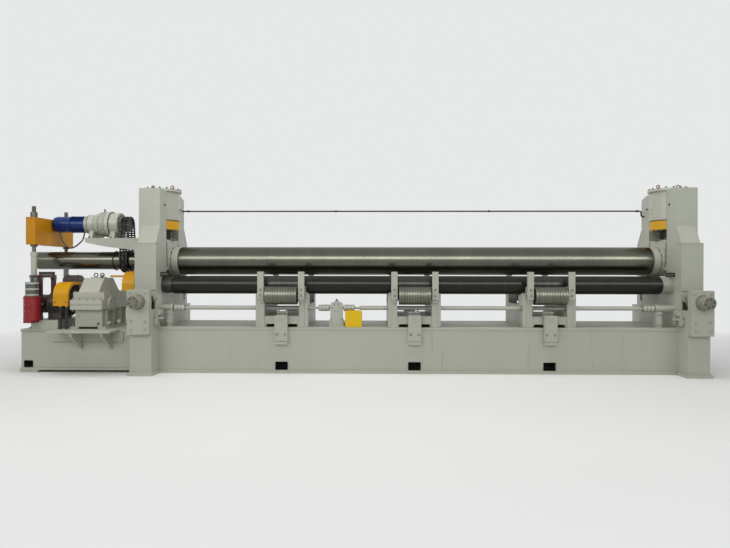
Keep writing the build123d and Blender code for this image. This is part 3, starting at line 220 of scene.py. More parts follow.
world = bpy.data.worlds.new("surround")
scene.world = world
sky = Shading(world)
background = surround_light(sky, "ShaderNodeBackground")
sky.add("ShaderNodeOutputWorld", sockets={"Surface": background})


def soft_lamp(name, place, aim, wide, high, watts, colour):
    """A large area lamp that points at a spot."""
    data = bpy.data.lights.new(name, "AREA")
    data.shape = "RECTANGLE"
    data.size = wide
    data.size_y = high
    data.energy = watts
    data.color = colour
    lamp = bpy.data.objects.new(name, data)
    lamp.location = place
    lamp.rotation_euler = (Vector(aim) - Vector(place)).to_track_quat("-Z", "Y").to_euler()
    scene.collection.objects.link(lamp)
    return lamp


DAYLIGHT = (1.0, 1.0, 0.98)
COOL_LIGHT = (0.98, 0.99, 1.0)
for lamp in (
    soft_lamp("roof_lamp", (-1.0, -1.5, 8.5), (-1.0, 0.0, 0.0), 14.0, 4.0, 560.0, DAYLIGHT),
    soft_lamp("front_lamp", (-4.0, -11.5, 6.5), (-1.5, 0.0, 1.0), 18.0, 4.0, 610.0, (1.0, 0.99, 0.96)),
    soft_lamp("right_lamp", (8.5, -8.0, 5.0), (0.0, 0.0, 1.0), 6.0, 4.0, 45.0, COOL_LIGHT),
    soft_lamp("rear_lamp", (-1.0, 9.0, 7.0), (-1.0, 0.0, 1.0), 12.0, 4.0, 420.0, COOL_LIGHT),
):
    lamp.visible_glossy = False
window_strip = soft_lamp("window_strip", (-1.0, -12.5, 7.4), (-1.0, 0.0, 1.7), 26.0, 4.2, 1850.0, DAYLIGHT)
window_strip.visible_diffuse = False


# Bed between the frames.
# A welded box of heavy plate, sprayed in light grey-green enamel.  Its girders have
# lifting pockets lined black as painted shade, and weld seams under lip and flange.
PAINT = (0.400, 0.418, 0.352)
PAINT_DUSTY = (0.345, 0.352, 0.292)
PAINT_SCUFFED = (0.17, 0.165, 0.135)
PAINT_OILED = (0.16, 0.15, 0.11)


def enamel(name, clean, dusty, scuffed, gloss=0.34, oiled=None, mirror=0.5):
    """Sprayed enamel: faint orange peel, dust on level faces, chipped edges, scuffs near the floor."""
    finish = Finish(name)
    cloud = finish.noise(1.1, detail=5.0)
    streak = finish.noise(3.0, detail=5.0, stretch=(1.0, 1.0, 0.12))
    facing = finish.add("ShaderNodeNewGeometry")["Normal"]
    up = finish.add("ShaderNodeSeparateXYZ", sockets={"Vector": facing})["Z"]
    dust = (up.step(0.6, 0.95) * (0.5 + cloud)).clamp() * 0.75
    tone = finish.mix((cloud * 0.6 + streak * 0.4).step(0.38, 0.72) * 0.55, clean, dusty)
    tone = finish.mix(dust, tone, dusty)
    if oiled:
        runs = finish.noise(9.0, detail=6.0, rough=0.6, stretch=(1.0, 1.0, 0.07)).step(0.60, 0.74)
        runs = runs * finish.noise(0.9, detail=3.0).step(0.46, 0.62)
        tone = finish.mix(runs * 0.42, tone, oiled)
    fleck = finish.noise(38.0, detail=8.0, rough=0.65)
    soft = finish.add("ShaderNodeBevel", settings={"samples": 4}, sockets={"Radius": 0.005})["Normal"]
    pair = {0: facing, 1: soft}
    leaning = finish.add("ShaderNodeVectorMath", settings={"operation": "DOT_PRODUCT"}, sockets=pair)["Value"]
    edge = (1.0 - leaning).step(0.01, 0.10) * fleck.step(0.42, 0.62)
    low = 1.0 - finish.z.step(0.0, 0.16)
    scuff = (fleck.step(0.60, 0.68) * (0.08 + low * 0.5) + edge * 0.55).clamp()
    tone = finish.mix(scuff, tone, scuffed)
    peel = finish.noise(420.0, detail=2.0)
    wavy = finish.noise(5.0, detail=2.0)
    sockets = {"Height": peel * 0.12 + wavy * 0.9, "Strength": 0.25, "Distance": 0.0012, "Normal": soft}
    normal = finish.add("ShaderNodeBump", sockets=sockets)["Normal"]
    rough = gloss + cloud * 0.14 + scuff * 0.3 + dust * 0.2
    return finish.shade(base_color=tone, roughness=rough, specular_ior_level=mirror, normal=normal)


machine_paint = enamel("machine_paint", PAINT, PAINT_DUSTY, PAINT_SCUFFED, oiled=PAINT_OILED)


def dress(material, *names):
    """Give frame nodes their material."""
    for name in names:
        slots = nodes[name].data.materials
        slots.clear()
        slots.append(material)


dress(machine_paint, "machine_bed")


class Growth:
    """A geometry tree that grows small parts on seed points, with named inputs."""

    def __init__(self, name, **inputs):
        self.tree = bpy.data.node_groups.new(name, "GeometryNodeTree")
        face = self.tree.interface
        face.new_socket("Seed", in_out="INPUT", socket_type="NodeSocketGeometry")
        for title, value in inputs.items():
            kind = "NodeSocketInt" if isinstance(value, int) else "NodeSocketFloat"
            face.new_socket(title, in_out="INPUT", socket_type=kind).default_value = value
        face.new_socket("Material", in_out="INPUT", socket_type="NodeSocketMaterial")
        face.new_socket("Grown", in_out="OUTPUT", socket_type="NodeSocketGeometry")
        entry = self.tree.nodes.new("NodeGroupInput")
        self.inputs = {output.name: output for output in entry.outputs}

    def add(self, kind, settings=None, **sockets):
        """One node's first output; keys are socket names with underscores, or i0, i1 and so on."""
        node = self.tree.nodes.new(kind)
        for key, value in (settings or {}).items():
            setattr(node, key, value)
        for key, value in sockets.items():
            place = int(key[1:]) if key[0] == "i" and key[1:].isdigit() else key.replace("_", " ")
            if isinstance(value, bpy.types.NodeSocket):
                self.tree.links.new(value, node.inputs[place])
            else:
                node.inputs[place].default_value = value
        return node.outputs[0]

    def sum(self, operation, first, second):
        return self.add("ShaderNodeMath", {"operation": operation}, i0=first, i1=second)

    def join(self, parts):
        node = self.tree.nodes.new("GeometryNodeJoinGeometry")
        for part in parts:
            self.tree.links.new(part, node.inputs[0])
        return node.outputs[0]

    def close(self, geometry, smooth=False):
        """Realise what has grown, shade it and give it its material."""
        real = self.add("GeometryNodeRealizeInstances", Geometry=geometry)
        shaded = self.add("GeometryNodeSetShadeSmooth", Geometry=real, Shade_Smooth=smooth)
        coated = self.add("GeometryNodeSetMaterial", Geometry=shaded, Material=self.inputs["Material"])
        leave = self.tree.nodes.new("NodeGroupOutput")
        self.tree.links.new(coated, leave.inputs[0])

    def run(self, name, seed_mesh, body, material, **values):
        """Grow on the seed, keep the result as a plain mesh and let it ride on a body."""
        piece = bpy.data.objects.new(name, seed_mesh)
        scene.collection.objects.link(piece)
        modifier = piece.modifiers.new("growth", "NODES")
        modifier.node_group = self.tree
        values["Material"] = material
        for item in self.tree.interface.items_tree:
            if item.in_out == "INPUT" and item.name in values:
                modifier[item.identifier] = values[item.name]
        whole = piece.evaluated_get(bpy.context.evaluated_depsgraph_get())
        plain = bpy.data.meshes.new_from_object(whole)
        piece.modifiers.remove(modifier)
        piece.data = plain
        plain.name = name
        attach(piece, body)


def hex_fastener():
    """A hexagon on a round washer with the threaded end of its stud, on each seed point."""
    growth = Growth("hex_fastener", Across=0.03, High=0.015, Washer=0.004, Stud=0.006)
    across, high, washer, stud = (growth.inputs[key] for key in ("Across", "High", "Washer", "Stud"))
    low = growth.sum("MULTIPLY", washer, 0.5)
    middle = growth.sum("ADD", washer, growth.sum("MULTIPLY", high, 0.5))
    top = growth.sum("ADD", growth.sum("ADD", washer, high), growth.sum("MULTIPLY", stud, 0.5))
    parts = []
    shapes = ((6, 0.577, high, middle), (18, 0.72, washer, low), (10, 0.30, stud, top))
    for sides, share, depth, level in shapes:
        radius = growth.sum("MULTIPLY", across, share)
        solid = growth.add("GeometryNodeMeshCylinder", Vertices=sides, Radius=radius, Depth=depth)
        lift = growth.add("ShaderNodeCombineXYZ", Z=level)
        parts.append(growth.add("GeometryNodeTransform", Geometry=solid, Translation=lift))
    turn = growth.add("GeometryNodeInputNamedAttribute", {"data_type": "FLOAT_VECTOR"}, Name="turn")
    spin = growth.add("FunctionNodeEulerToRotation", Euler=turn)
    seed = growth.inputs["Seed"]
    whole = growth.join(parts)
    growth.close(growth.add("GeometryNodeInstanceOnPoints", Points=seed, Instance=whole, Rotation=spin))
    return growth


fastener = hex_fastener()


def seeds(name, spots):
    """A mesh of bare points, each with the turn that brings Z to its own direction."""
    mesh = bpy.data.meshes.new(name)
    mesh.from_pydata([tuple(place) for place, direction in spots], [], [])
    turns = mesh.attributes.new("turn", "FLOAT_VECTOR", "POINT")
    for slot, (place, direction) in zip(turns.data, spots):
        slot.vector = Vector(direction).to_track_quat("Z", "Y").to_euler()
    return mesh


def bolts(name, body, spots, across, high, material, washer=0.004, stud=0.0):
    """Hexagon heads or nuts on all the spots, as one piece."""
    sizes = {"Across": across, "High": high, "Washer": washer, "Stud": max(stud, 0.0005)}
    fastener.run(name, seeds(name, spots), body, material, **sizes)


def row(first, last, count, direction):
    """Evenly spaced spots from first to last."""
    first, last = Vector(first), Vector(last)
    return [(first.lerp(last, i / (count - 1)), direction) for i in range(count)]


def grid(xs, ys, zs, direction):
    """Spots wherever the given places cross."""
    return [((x, y, z), direction) for x in xs for y in ys for z in zs]


def ring(middle, radius, count, direction, start=0.0):
    """Evenly spaced spots round an axis through the middle."""
    axis = Vector(direction).normalized()
    side = axis.orthogonal().normalized()
    found = []
    for i in range(count):
        spin = Matrix.Rotation(start + 2 * pi * i / count, 3, axis)
        found.append((Vector(middle) + spin @ side * radius, direction))
    return found


def rings(middles, *shape):
    """A ring of spots round each of the middles."""
    return [spot for middle in middles for spot in ring(middle, *shape)]


def mirrored(spots):
    """The same spots and their mirror images across the machine's middle."""
    return spots + [((-x, y, z), (-a, b, c)) for (x, y, z), (a, b, c) in spots]


def plain_steel(name, colour, rough, metallic=0.85):
    """Oily machined or blacked steel."""
    finish = Finish(name)
    cloud = finish.noise(18.0, detail=6.0)
    tone = finish.mix(cloud, colour, [c * 0.6 for c in colour])
    normal = finish.bump(finish.noise(300.0, detail=3.0), strength=0.15, distance=0.0004)
    return finish.shade(base_color=tone, metallic=metallic, roughness=rough + cloud * 0.2, normal=normal)


bolt_steel = plain_steel("bolt_steel", (0.15, 0.145, 0.125), 0.38, 0.6)
bright_bolt = plain_steel("bright_bolt", (0.46, 0.45, 0.40), 0.30, 0.8)
# Near black for dark seams, and painted shade in pockets, grooves and gaps.
seam_black_and_painted_shade = plain_steel("seam_black_and_painted_shade", (0.010, 0.010, 0.009), 0.7, 0.0)

bed_low, bed_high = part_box("machine_bed")
STAND_XS = tuple((low.x + high.x) / 2 for low, high in (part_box(f"support_stand_{i}") for i in (1, 2, 3)))


def keep(name, mesh, body, material, crease=None, wall=None):
    """Make a mesh a piece that rides on a body, smooth up to a crease, or as sheet of some wall."""
    data = bpy.data.meshes.new(name)
    mesh.to_mesh(data)
    mesh.free()
    data.materials.append(material)
    if crease:
        data.shade_smooth()
        data.set_sharp_from_angle(angle=radians(crease))
    piece = bpy.data.objects.new(name, data)
    scene.collection.objects.link(piece)
    if wall:
        sheet = piece.modifiers.new("wall", "SOLIDIFY")
        sheet.thickness = wall
        sheet.offset = 1.0
    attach(piece, body)


def shells(name, body, boxes, material):
    """Thin-walled boxes, each open towards -Y or +Y, as one piece."""
    mesh = bmesh.new()
    for (x0, x1, z0, z1, mouth, back) in boxes:
        outline = ((x0, z0), (x1, z0), (x1, z1), (x0, z1))
        rim = [mesh.verts.new((x, mouth, z)) for x, z in outline]
        end = [mesh.verts.new((x, back, z)) for x, z in outline]
        mesh.faces.new(end)
        for i in range(4):
            mesh.faces.new((rim[i], rim[(i + 1) % 4], end[(i + 1) % 4], end[i]))
    bmesh.ops.recalc_face_normals(mesh, faces=mesh.faces)
    keep(name, mesh, body, material, wall=0.004)


POCKET_HALF = 0.101
POCKET_LOW = 0.045
POCKET_HIGH = 0.183
pocket_boxes = [
    (x - POCKET_HALF, x + POCKET_HALF, POCKET_LOW, POCKET_HIGH, y_side * 0.586, y_side * 0.40)
    for x in STAND_XS
    for y_side in (-1, 1)
]
# Black sheet inside the pockets is painted shade.
shells("pocket_shade_liners", "base", pocket_boxes, seam_black_and_painted_shade)


def bead_growth():
    """Weld metal: a rippled round bead along each edge of the seed."""
    growth = Growth("weld_bead", Radius=0.005, Step=0.012)
    radius = growth.inputs["Radius"]
    line = growth.add("GeometryNodeMeshToCurve", Mesh=growth.inputs["Seed"])
    even = {"mode": "LENGTH"}
    fine = growth.add("GeometryNodeResampleCurve", even, Curve=line, Length=growth.inputs["Step"])
    outline = growth.add("GeometryNodeCurvePrimitiveCircle", Resolution=6, Radius=radius)
    solid = growth.add("GeometryNodeCurveToMesh", Curve=fine, Profile_Curve=outline, Fill_Caps=True)
    ripple = growth.add("ShaderNodeTexNoise", {"noise_dimensions": "3D"}, Scale=90.0)
    swell = growth.sum("MULTIPLY", growth.sum("SUBTRACT", ripple, 0.5), radius)
    way = growth.add("GeometryNodeInputNormal")
    push = growth.add("ShaderNodeVectorMath", {"operation": "SCALE"}, Vector=way, Scale=swell)
    growth.close(growth.add("GeometryNodeSetPosition", Geometry=solid, Offset=push), smooth=True)
    return growth


weld = bead_growth()


def beads(name, body, lines, radius, material, step=0.014):
    """Weld beads or pipes along straight or cornered lines, as one piece."""
    points, edges = [], []
    for line in lines:
        first = len(points)
        points += [tuple(point) for point in line]
        edges += [(i, i + 1) for i in range(first, len(points) - 1)]
    mesh = bpy.data.meshes.new(name)
    mesh.from_pydata(points, edges, [])
    weld.run(name, mesh, body, material, Radius=radius, Step=step)


bed_seams = [[(bed_low.x, y, z), (bed_high.x, y, z)] for y in (-0.617, 0.617) for z in (0.688, 0.047)]
beads("bed_welds", "base", bed_seams, 0.005, machine_paint)


# End frames.
# Each is a stepped box frame of thick plate with an open window for the bearing
# blocks.  Weld seams cross it above the foot and at the ledges, with painted
# shadow under the front seams.
dress(machine_paint, "left_end_frame", "right_end_frame", "thrust_plates")
LEFT, RIGHT, FRONT, UP, DOWN = (-1, 0, 0), (1, 0, 0), (0, -1, 0), (0, 0, 1), (0, 0, -1)
INNER_X = 4.10
OUTER_X = 4.44
MIDDLE_X = (INNER_X + OUTER_X) / 2
MIDDLES = (-MIDDLE_X, MIDDLE_X)
FOOT_Y = 0.895
BODY_Y = 0.715
HEAD_Y = 0.556
FOOT_TOP = 1.02
BODY_TOP = 2.06
SEAM_Z = 1.325
seam_lines = []
seam_shadow = []
for side in (-1, 1):
    inner, outer = side * INNER_X, side * OUTER_X
    for y_side in (-1, 1):
        body, head, foot = y_side * BODY_Y, y_side * HEAD_Y, y_side * FOOT_Y
        seam_lines.append([(inner, y_side * 0.60, SEAM_Z), (inner, body, SEAM_Z), (outer, body, SEAM_Z)])
        seam_lines.append([(inner, head, BODY_TOP), (inner, body, BODY_TOP), (outer, body, BODY_TOP)])
        seam_lines.append([(inner, body, BODY_TOP), (inner, head, BODY_TOP + 0.29)])
        seam_lines.append([(inner, body, FOOT_TOP), (inner, foot, FOOT_TOP)])
        seam_lines.append([(inner, foot, 0.05), (outer, foot, 0.05)])
    under = SEAM_Z - 0.010
    seam_shadow.append([(side * (INNER_X + 0.006), -BODY_Y, under), (outer, -BODY_Y, under)])
beads("frame_welds", "base", seam_lines, 0.0055, machine_paint)
# A dark bead just under each front seam is painted shadow.
painted_seam_shadow = plain_steel("painted_seam_shadow", (0.16, 0.155, 0.12), 0.7, 0.0)
beads("frame_seam_painted_shadow", "base", seam_shadow, 0.0045, painted_seam_shadow)
side_spots = grid([INNER_X], (-0.36, 0.36), [2.705], LEFT)
bolts("frame_side_plugs", "base", mirrored(side_spots), 0.026, 0.012, bolt_steel)


def slabs(name, body, corners, material, round_off=0.002):
    """Plates and bars between pairs of corners, with their edges eased, as one piece."""
    mesh = bmesh.new()
    for (x0, x1, y0, y1, z0, z1) in corners:
        middle = Vector(((x0 + x1) / 2, (y0 + y1) / 2, (z0 + z1) / 2))
        grow = Matrix.Translation(middle) @ Matrix.Diagonal((abs(x1 - x0), abs(y1 - y0), abs(z1 - z0), 1.0))
        bmesh.ops.create_cube(mesh, size=1.0, matrix=grow)
    ease = {"offset": round_off, "segments": 2, "affect": "EDGES", "profile": 0.6, "clamp_overlap": True}
    bmesh.ops.bevel(mesh, geom=list(mesh.edges), **ease)
    keep(name, mesh, body, material)


# Service brackets on the inner faces of the feet: a small valve block with fittings.
# Painted castings in the corner between frame, bed and shaft end, with a pipe each.
bracket_slabs = []
for side in (-1, 1):
    near = side * (INNER_X - 0.001)
    bracket_slabs += [
        (near, side * (INNER_X - 0.085), -0.760, -0.640, 0.93, 1.005),
        (near, side * (INNER_X - 0.045), -0.800, -0.640, 0.78, 0.93),
        (near, side * (INNER_X - 0.110), -0.735, -0.665, 0.86, 0.895),
    ]
slabs("service_blocks", "base", bracket_slabs, machine_paint, 0.004)
block_spots = grid([INNER_X - 0.022], [-0.80], (0.80, 0.905), FRONT)
block_spots += grid([INNER_X - 0.086], (-0.745, -0.655), [0.967], LEFT)
block_spots += [((INNER_X - 0.045, -0.72, 0.83), LEFT)]
bolts("service_fittings", "base", mirrored(block_spots), 0.022, 0.020, bright_bolt, stud=0.008)
feed_lines = [
    [(x, -0.700, 0.86), (x, -0.700, 0.775), (x, -0.660, 0.760), (x, -0.6245, 0.760)]
    for x in (0.065 - INNER_X, INNER_X - 0.065)
]
beads("service_pipes", "base", feed_lines, 0.007, bolt_steel, step=0.03)


# Thrust plates and cylinders.
# A plate on each foot takes the push of the cylinder that shifts the lower rolls.
# The plates are held by hexagon bolts, the cylinder's cap by a ring of screws.
dress(machine_paint, "sync_end_boxes")
OIL_STAIN = (0.09, 0.075, 0.055)
stained_paint = enamel(
    "stained_paint", (0.25, 0.245, 0.200), (0.20, 0.19, 0.15), (0.08, 0.07, 0.055), oiled=OIL_STAIN
)
dress(stained_paint, "thrust_cylinders", "thrust_rods")
PLATE_FACE = -0.995
CAP_FACE = -1.167
THRUST_Z = 1.148
plate_spots = grid((INNER_X + 0.062, OUTER_X - 0.062), [PLATE_FACE], (0.848, 0.724), FRONT)
plate_spots += grid((INNER_X + 0.045, OUTER_X - 0.045), [PLATE_FACE], [1.285], FRONT)
bolts("thrust_plate_bolts", "base", mirrored(plate_spots), 0.030, 0.012, machine_paint, stud=0.004)
flange_ring = rings([(x, PLATE_FACE - 0.022, THRUST_Z) for x in MIDDLES], 0.1095, 12, FRONT, 0.26)
bolts("thrust_flange_bolts", "base", flange_ring, 0.011, 0.006, bolt_steel, washer=0.0)
caps = [(x, CAP_FACE, THRUST_Z) for x in MIDDLES]
bolts("thrust_cap_screws", "base", rings(caps, 0.062, 6, FRONT, 0.52), 0.022, 0.012, bolt_steel, stud=0.004)


def turned(name, body, profile, spots, axis, material, steps=64):
    """Turned rings and discs: a profile of (radius, height) spun round an axis at each spot."""
    mesh = bmesh.new()
    way = Vector(axis).to_track_quat("Z", "Y").to_matrix().to_4x4()
    for spot in spots:
        turn = Matrix.Translation(Vector(spot)) @ way
        points = [mesh.verts.new(turn @ Vector((max(r, 1e-5), 0, h))) for r, h in profile]
        edges = [mesh.edges.new(pair) for pair in zip(points, points[1:])]
        spin = {"cent": turn.translation, "axis": turn.to_3x3() @ Vector(UP), "angle": 2 * pi}
        bmesh.ops.spin(mesh, geom=points + edges, steps=steps, use_merge=True, **spin)
    bmesh.ops.remove_doubles(mesh, verts=mesh.verts, dist=2e-5)
    bmesh.ops.recalc_face_normals(mesh, faces=mesh.faces)
    keep(name, mesh, body, material, crease=32)


grimy_paint = enamel("grimy_paint", (0.20, 0.185, 0.145), (0.13, 0.12, 0.09), (0.04, 0.035, 0.03), 0.30)
turned(
    "thrust_cap_faces", "base",
    [(0, 0), (0, 0.004), (0.03, 0.004), (0.034, 0.001), (0.084, 0.001), (0.088, 0.004), (0.0895, 0), (0, 0)],
    caps, FRONT, grimy_paint,
)
turned(
    "thrust_ports", "base",
    [(0, 0), (0, 0.030), (0.010, 0.030), (0.010, 0.018), (0.016, 0.018), (0.016, 0.0), (0, 0)],
    [(x, PLATE_FACE - 0.09, THRUST_Z + 0.1015) for x in MIDDLES], UP, bright_bolt, steps=24,
)


# Lift cylinders.
# The big cylinders hang in the windows by round flanges, with yellow gland rings
# below.  Lifting eyes stand on their flanges, and a black line joins them.
pale_paint = enamel(
    "pale_paint", (0.44, 0.445, 0.375), (0.37, 0.37, 0.31), (0.16, 0.15, 0.13), 0.3, oiled=(0.17, 0.15, 0.11)
)
dress(pale_paint, "lift_cylinders")
guard_yellow = enamel("guard_yellow", (0.60, 0.295, 0), (0.50, 0.24, 0.003), (0.17, 0.11, 0.04), mirror=0.25)
ring_yellow = enamel("ring_yellow", (0.66, 0.36, 0.015), (0.52, 0.29, 0.02), (0.15, 0.10, 0.04), mirror=0.3)
black_paint = enamel("black_paint", (0.015, 0.015, 0.015), (0.05, 0.05, 0.045), (0.01, 0.01, 0.01), 0.3)
brake_red = enamel(
    "brake_red", (0.27, 0.012, 0.016), (0.20, 0.020, 0.020), (0.05, 0.015, 0.015), 0.3, mirror=0.35
)
dress(ring_yellow, "lift_glands")
dress(black_paint, "hydraulic_line")
FLANGE_TOP = 2.99
GLAND_TOP = 2.473
GLAND_LOW = 2.316
tops = [(x, 0, FLANGE_TOP) for x in MIDDLES]
glands = [(x, 0, GLAND_LOW) for x in MIDDLES]
bolts("lift_flange_bolts", "base", rings(tops, 0.285, 16, UP, 0.2), 0.030, 0.016, bolt_steel, stud=0.008)
gland_spots = rings(glands, 0.235, 16, DOWN, 0.1)
bolts("lift_gland_bolts", "base", gland_spots, 0.030, 0.012, bright_bolt, washer=0.003, stud=0.003)
turned(
    "lift_gland_seams", "base",
    [(0.2805, -0.011), (0.2835, -0.009), (0.2835, 0.004), (0.2805, 0.006)]
    + [(0.270, 0.006), (0.270, -0.011), (0.2805, -0.011)],
    [(x, 0, GLAND_TOP) for x in MIDDLES], UP, bolt_steel,
)
turned(
    "lift_wipers", "base",
    [(0.1515, 0.0), (0.1515, -0.013), (0.176, -0.013), (0.182, -0.008), (0.182, 0.0), (0.1515, 0.0)],
    glands, UP, black_paint,
)
turned(
    "lift_top_covers", "base",
    [(0, 0), (0, 0.026), (0.110, 0.026), (0.116, 0.020), (0.116, 0.012)]
    + [(0.205, 0.012), (0.210, 0.007), (0.210, 0.0), (0, 0)],
    tops, UP, machine_paint,
)


def lifting_eyes(name, body, places, size, material, turn=0.0):
    """Forged eye bolts: a ring of round bar on a collar and shank."""
    mesh = bmesh.new()
    spin = Matrix.Rotation(turn, 4, "Z")
    for x, y, z in places:
        loops = []
        for i in range(24):
            around = 2 * pi * i / 24
            loop = []
            for j in range(10):
                across = 2 * pi * j / 10
                reach = size * (0.36 + 0.11 * cos(across))
                rise = size * 0.60 - reach * cos(around)
                point = spin @ Vector((reach * sin(around), size * 0.11 * sin(across), rise))
                loop.append(mesh.verts.new(point + Vector((x, y, z))))
            loops.append(loop)
        for i in range(24):
            for j in range(10):
                a, b = loops[i], loops[(i + 1) % 24]
                mesh.faces.new((a[j], b[j], b[(j + 1) % 10], a[(j + 1) % 10]))
        collar = Matrix.Translation(Vector((x, y, z + size * 0.07)))
        cone = {"segments": 20, "radius1": size * 0.30, "radius2": size * 0.20, "depth": size * 0.14}
        bmesh.ops.create_cone(mesh, cap_ends=True, matrix=collar, **cone)
    bmesh.ops.recalc_face_normals(mesh, faces=mesh.faces)
    keep(name, mesh, body, material, crease=40)


eye_spots = [(x + dx, 0.0, FLANGE_TOP + 0.012) for x in MIDDLES for dx in (-0.165, 0.165)]
lifting_eyes("lift_eyes", "base", eye_spots, 0.072, brake_red)
port_blocks = [
    (side * (MIDDLE_X - 0.20), side * (MIDDLE_X - 0.285), -0.035, 0.035, 2.60, 2.68) for side in (-1, 1)
]
slabs("lift_port_blocks", "base", port_blocks, machine_paint, 0.004)
line_clips = grid((-4.00, -1.36, 1.36, 3.97), [0.470], [2.688], RIGHT)
bolts("line_unions", "base", line_clips, 0.034, 0.030, black_paint, washer=0.0)


# Upper bearing blocks.
# Heavy blocks slide in the windows on bright strips; stepped covers bolted to them
# keep the grease in.  Bolted collars join the lift rods to the blocks.
dress(machine_paint, "upper_bearing_blocks", "upper_bearing_covers")
UPPER_Z = 1.795
CARRIED = "upper_carriage"
COVER_X = 3.936
STRIP_X = 4.0905
flange_spots, cover_spots, strips, strip_spots = [], [], [], []
for side in (-1, 1):
    inward = (-side, 0, 0)
    flange_spots += ring((side * 4.060, 0, UPPER_Z), 0.227, 12, inward, 0.13)
    cover_spots += ring((side * COVER_X, 0, UPPER_Z), 0.205, 12, inward, 0.2)
    for y_side in (-1, 1):
        strips.append((side * 4.098, side * STRIP_X, y_side * 0.252, y_side * 0.2835, 1.70, 2.12))
        strip_spots += grid([side * STRIP_X], [y_side * 0.268], (1.76, 1.86, 1.96, 2.06), inward)
bolts("upper_cover_bolts", CARRIED, flange_spots, 0.018, 0.010, bolt_steel, washer=0.002)
bolts("upper_cover_screws", CARRIED, cover_spots, 0.012, 0.0035, bolt_steel, washer=0.0)
slabs("block_slide_strips", CARRIED, strips, bright_bolt, 0.001)
bolts("slide_strip_screws", CARRIED, strip_spots, 0.013, 0.004, bolt_steel, washer=0.0)
turned(
    "lift_rod_flanges", CARRIED,
    [(0.1502, 0.0), (0.1502, 0.018), (0.198, 0.018), (0.204, 0.013), (0.204, 0.0), (0.1502, 0.0)],
    [(x, 0, 2.140) for x in MIDDLES], UP, bolt_steel,
)
rod_flange_spots = rings([(x, 0, 2.158) for x in MIDDLES], 0.178, 10, UP, 0.1)
bolts("rod_flange_bolts", CARRIED, rod_flange_spots, 0.024, 0.009, bright_bolt, washer=0.002)


# Upper roll.
# A long forged roll, ground bright.  Its ends carry screwed plates and its tail, at
# the far left, runs out under the clamp beam.
def ground_steel(name, colour, rough, line_scale):
    """Turned and ground steel with fine rings round X and a film of old oil."""
    finish = Finish(name)
    lathe_lines = finish.noise(line_scale, detail=6.0, rough=0.7, stretch=(1.0, 0.02, 0.02))
    bands = finish.noise(3.0, detail=4.0, stretch=(1.0, 0.03, 0.03))
    smear = finish.noise(7.0, detail=5.0, stretch=(0.15, 1.0, 1.0)).step(0.5, 0.8)
    dull = finish.noise(0.7, detail=3.0, stretch=(1.0, 0.2, 0.2)).step(0.35, 0.65)
    tone = finish.mix(bands.step(0.35, 0.7) * 0.5 + smear * 0.25, colour, [c * 0.62 for c in colour])
    tone = finish.mix(dull * 0.35, tone, [c * 0.5 for c in colour])
    normal = finish.bump(lathe_lines, strength=0.25, distance=0.0005)
    rough_sum = rough + bands * 0.06 + smear * 0.06 + dull * 0.04
    return finish.shade(base_color=tone, metallic=0.92, roughness=rough_sum, normal=normal)


dress(ground_steel("ground_steel", (0.138, 0.138, 0.110), 0.18, 260.0), "upper_roll")
dark_steel = plain_steel("dark_steel", (0.085, 0.08, 0.07), 0.32)
plate_screws = []
for name, x, way in (("roll_tail_plate", -6.4, -1), ("roll_right_plate", 4.44, 1)):
    end_plate = [(0, 0), (0, 0.012), (0.10, 0.012), (0.105, 0.008), (0.105, 0.0), (0, 0)]
    turned(name, "upper_roll_set", end_plate, [(x, 0, UPPER_Z)], (way, 0, 0), dark_steel)
    plate_screws += ring((x + way * 0.012, 0, UPPER_Z), 0.078, 6, (way, 0, 0))
bolts("roll_plate_screws", "upper_roll_set", plate_screws, 0.024, 0.012, bolt_steel, washer=0.003)
turned(
    "roll_oil_slingers", "upper_roll_set",
    [(0.1503, -0.004), (0.1503, 0.004), (0.166, 0.004), (0.166, -0.004), (0.1503, -0.004)],
    [(-4.52, 0, UPPER_Z), (-5.06, 0, UPPER_Z)], RIGHT, dark_steel,
)


# Lower rolls.
# Black from the mill; only the bands over the stands are bright, where the
# support rollers run.  Both turn in blocks that shift together, with round covers.
def mill_scale():
    """Black scale with bright worn bands where the support rollers touch."""
    finish = Finish("mill_scale")
    mottle = finish.noise(6.0, detail=8.0, rough=0.6)
    lines = finish.noise(90.0, detail=6.0, rough=0.7, stretch=(1.0, 0.03, 0.03))
    left, middle, right = (1.0 - abs(finish.x - x).step(0.235, 0.255) for x in STAND_XS)
    worn = left.most(middle).most(right)
    bright = (worn * (lines.step(0.35, 0.75) * 0.40)).clamp()
    scratch = finish.noise(30.0, detail=6.0, rough=0.7, stretch=(1.0, 0.04, 0.04)).step(0.62, 0.74) * 0.12
    bright = bright.most(scratch)
    black = finish.mix(mottle, (0.010, 0.010, 0.009), (0.026, 0.025, 0.021))
    tone = finish.mix(bright, black, (0.17, 0.17, 0.145))
    normal = finish.bump(lines * 0.5 + mottle, strength=0.2, distance=0.0006)
    metal = 0.35 + bright * 0.6
    rough = 0.18 + mottle * 0.10
    return finish.shade(
        base_color=tone, metallic=metal, roughness=rough, specular_ior_level=0.25, normal=normal
    )


dress(mill_scale(), "lower_front_roll", "lower_rear_roll")
dress(machine_paint, "lower_bearing_blocks")


def cover_paint_left_shaded():
    """Machine paint on the right covers; the left ones are painted near black as shade."""
    finish = Finish("cover_paint_left_shaded")
    # Mask of the left covers, which get painted shade.
    left = 1.0 - finish.x.step(-3.0, -2.9)
    cloud = finish.noise(7.0, detail=5.0)
    clean = finish.mix(cloud, (0.33, 0.34, 0.285), (0.25, 0.25, 0.205))
    tone = finish.mix(left * 0.97, clean, (0.018, 0.017, 0.014))
    normal = finish.bump(cloud, strength=0.15, distance=0.001)
    return finish.shade(base_color=tone, roughness=0.34 + cloud * 0.14, normal=normal)
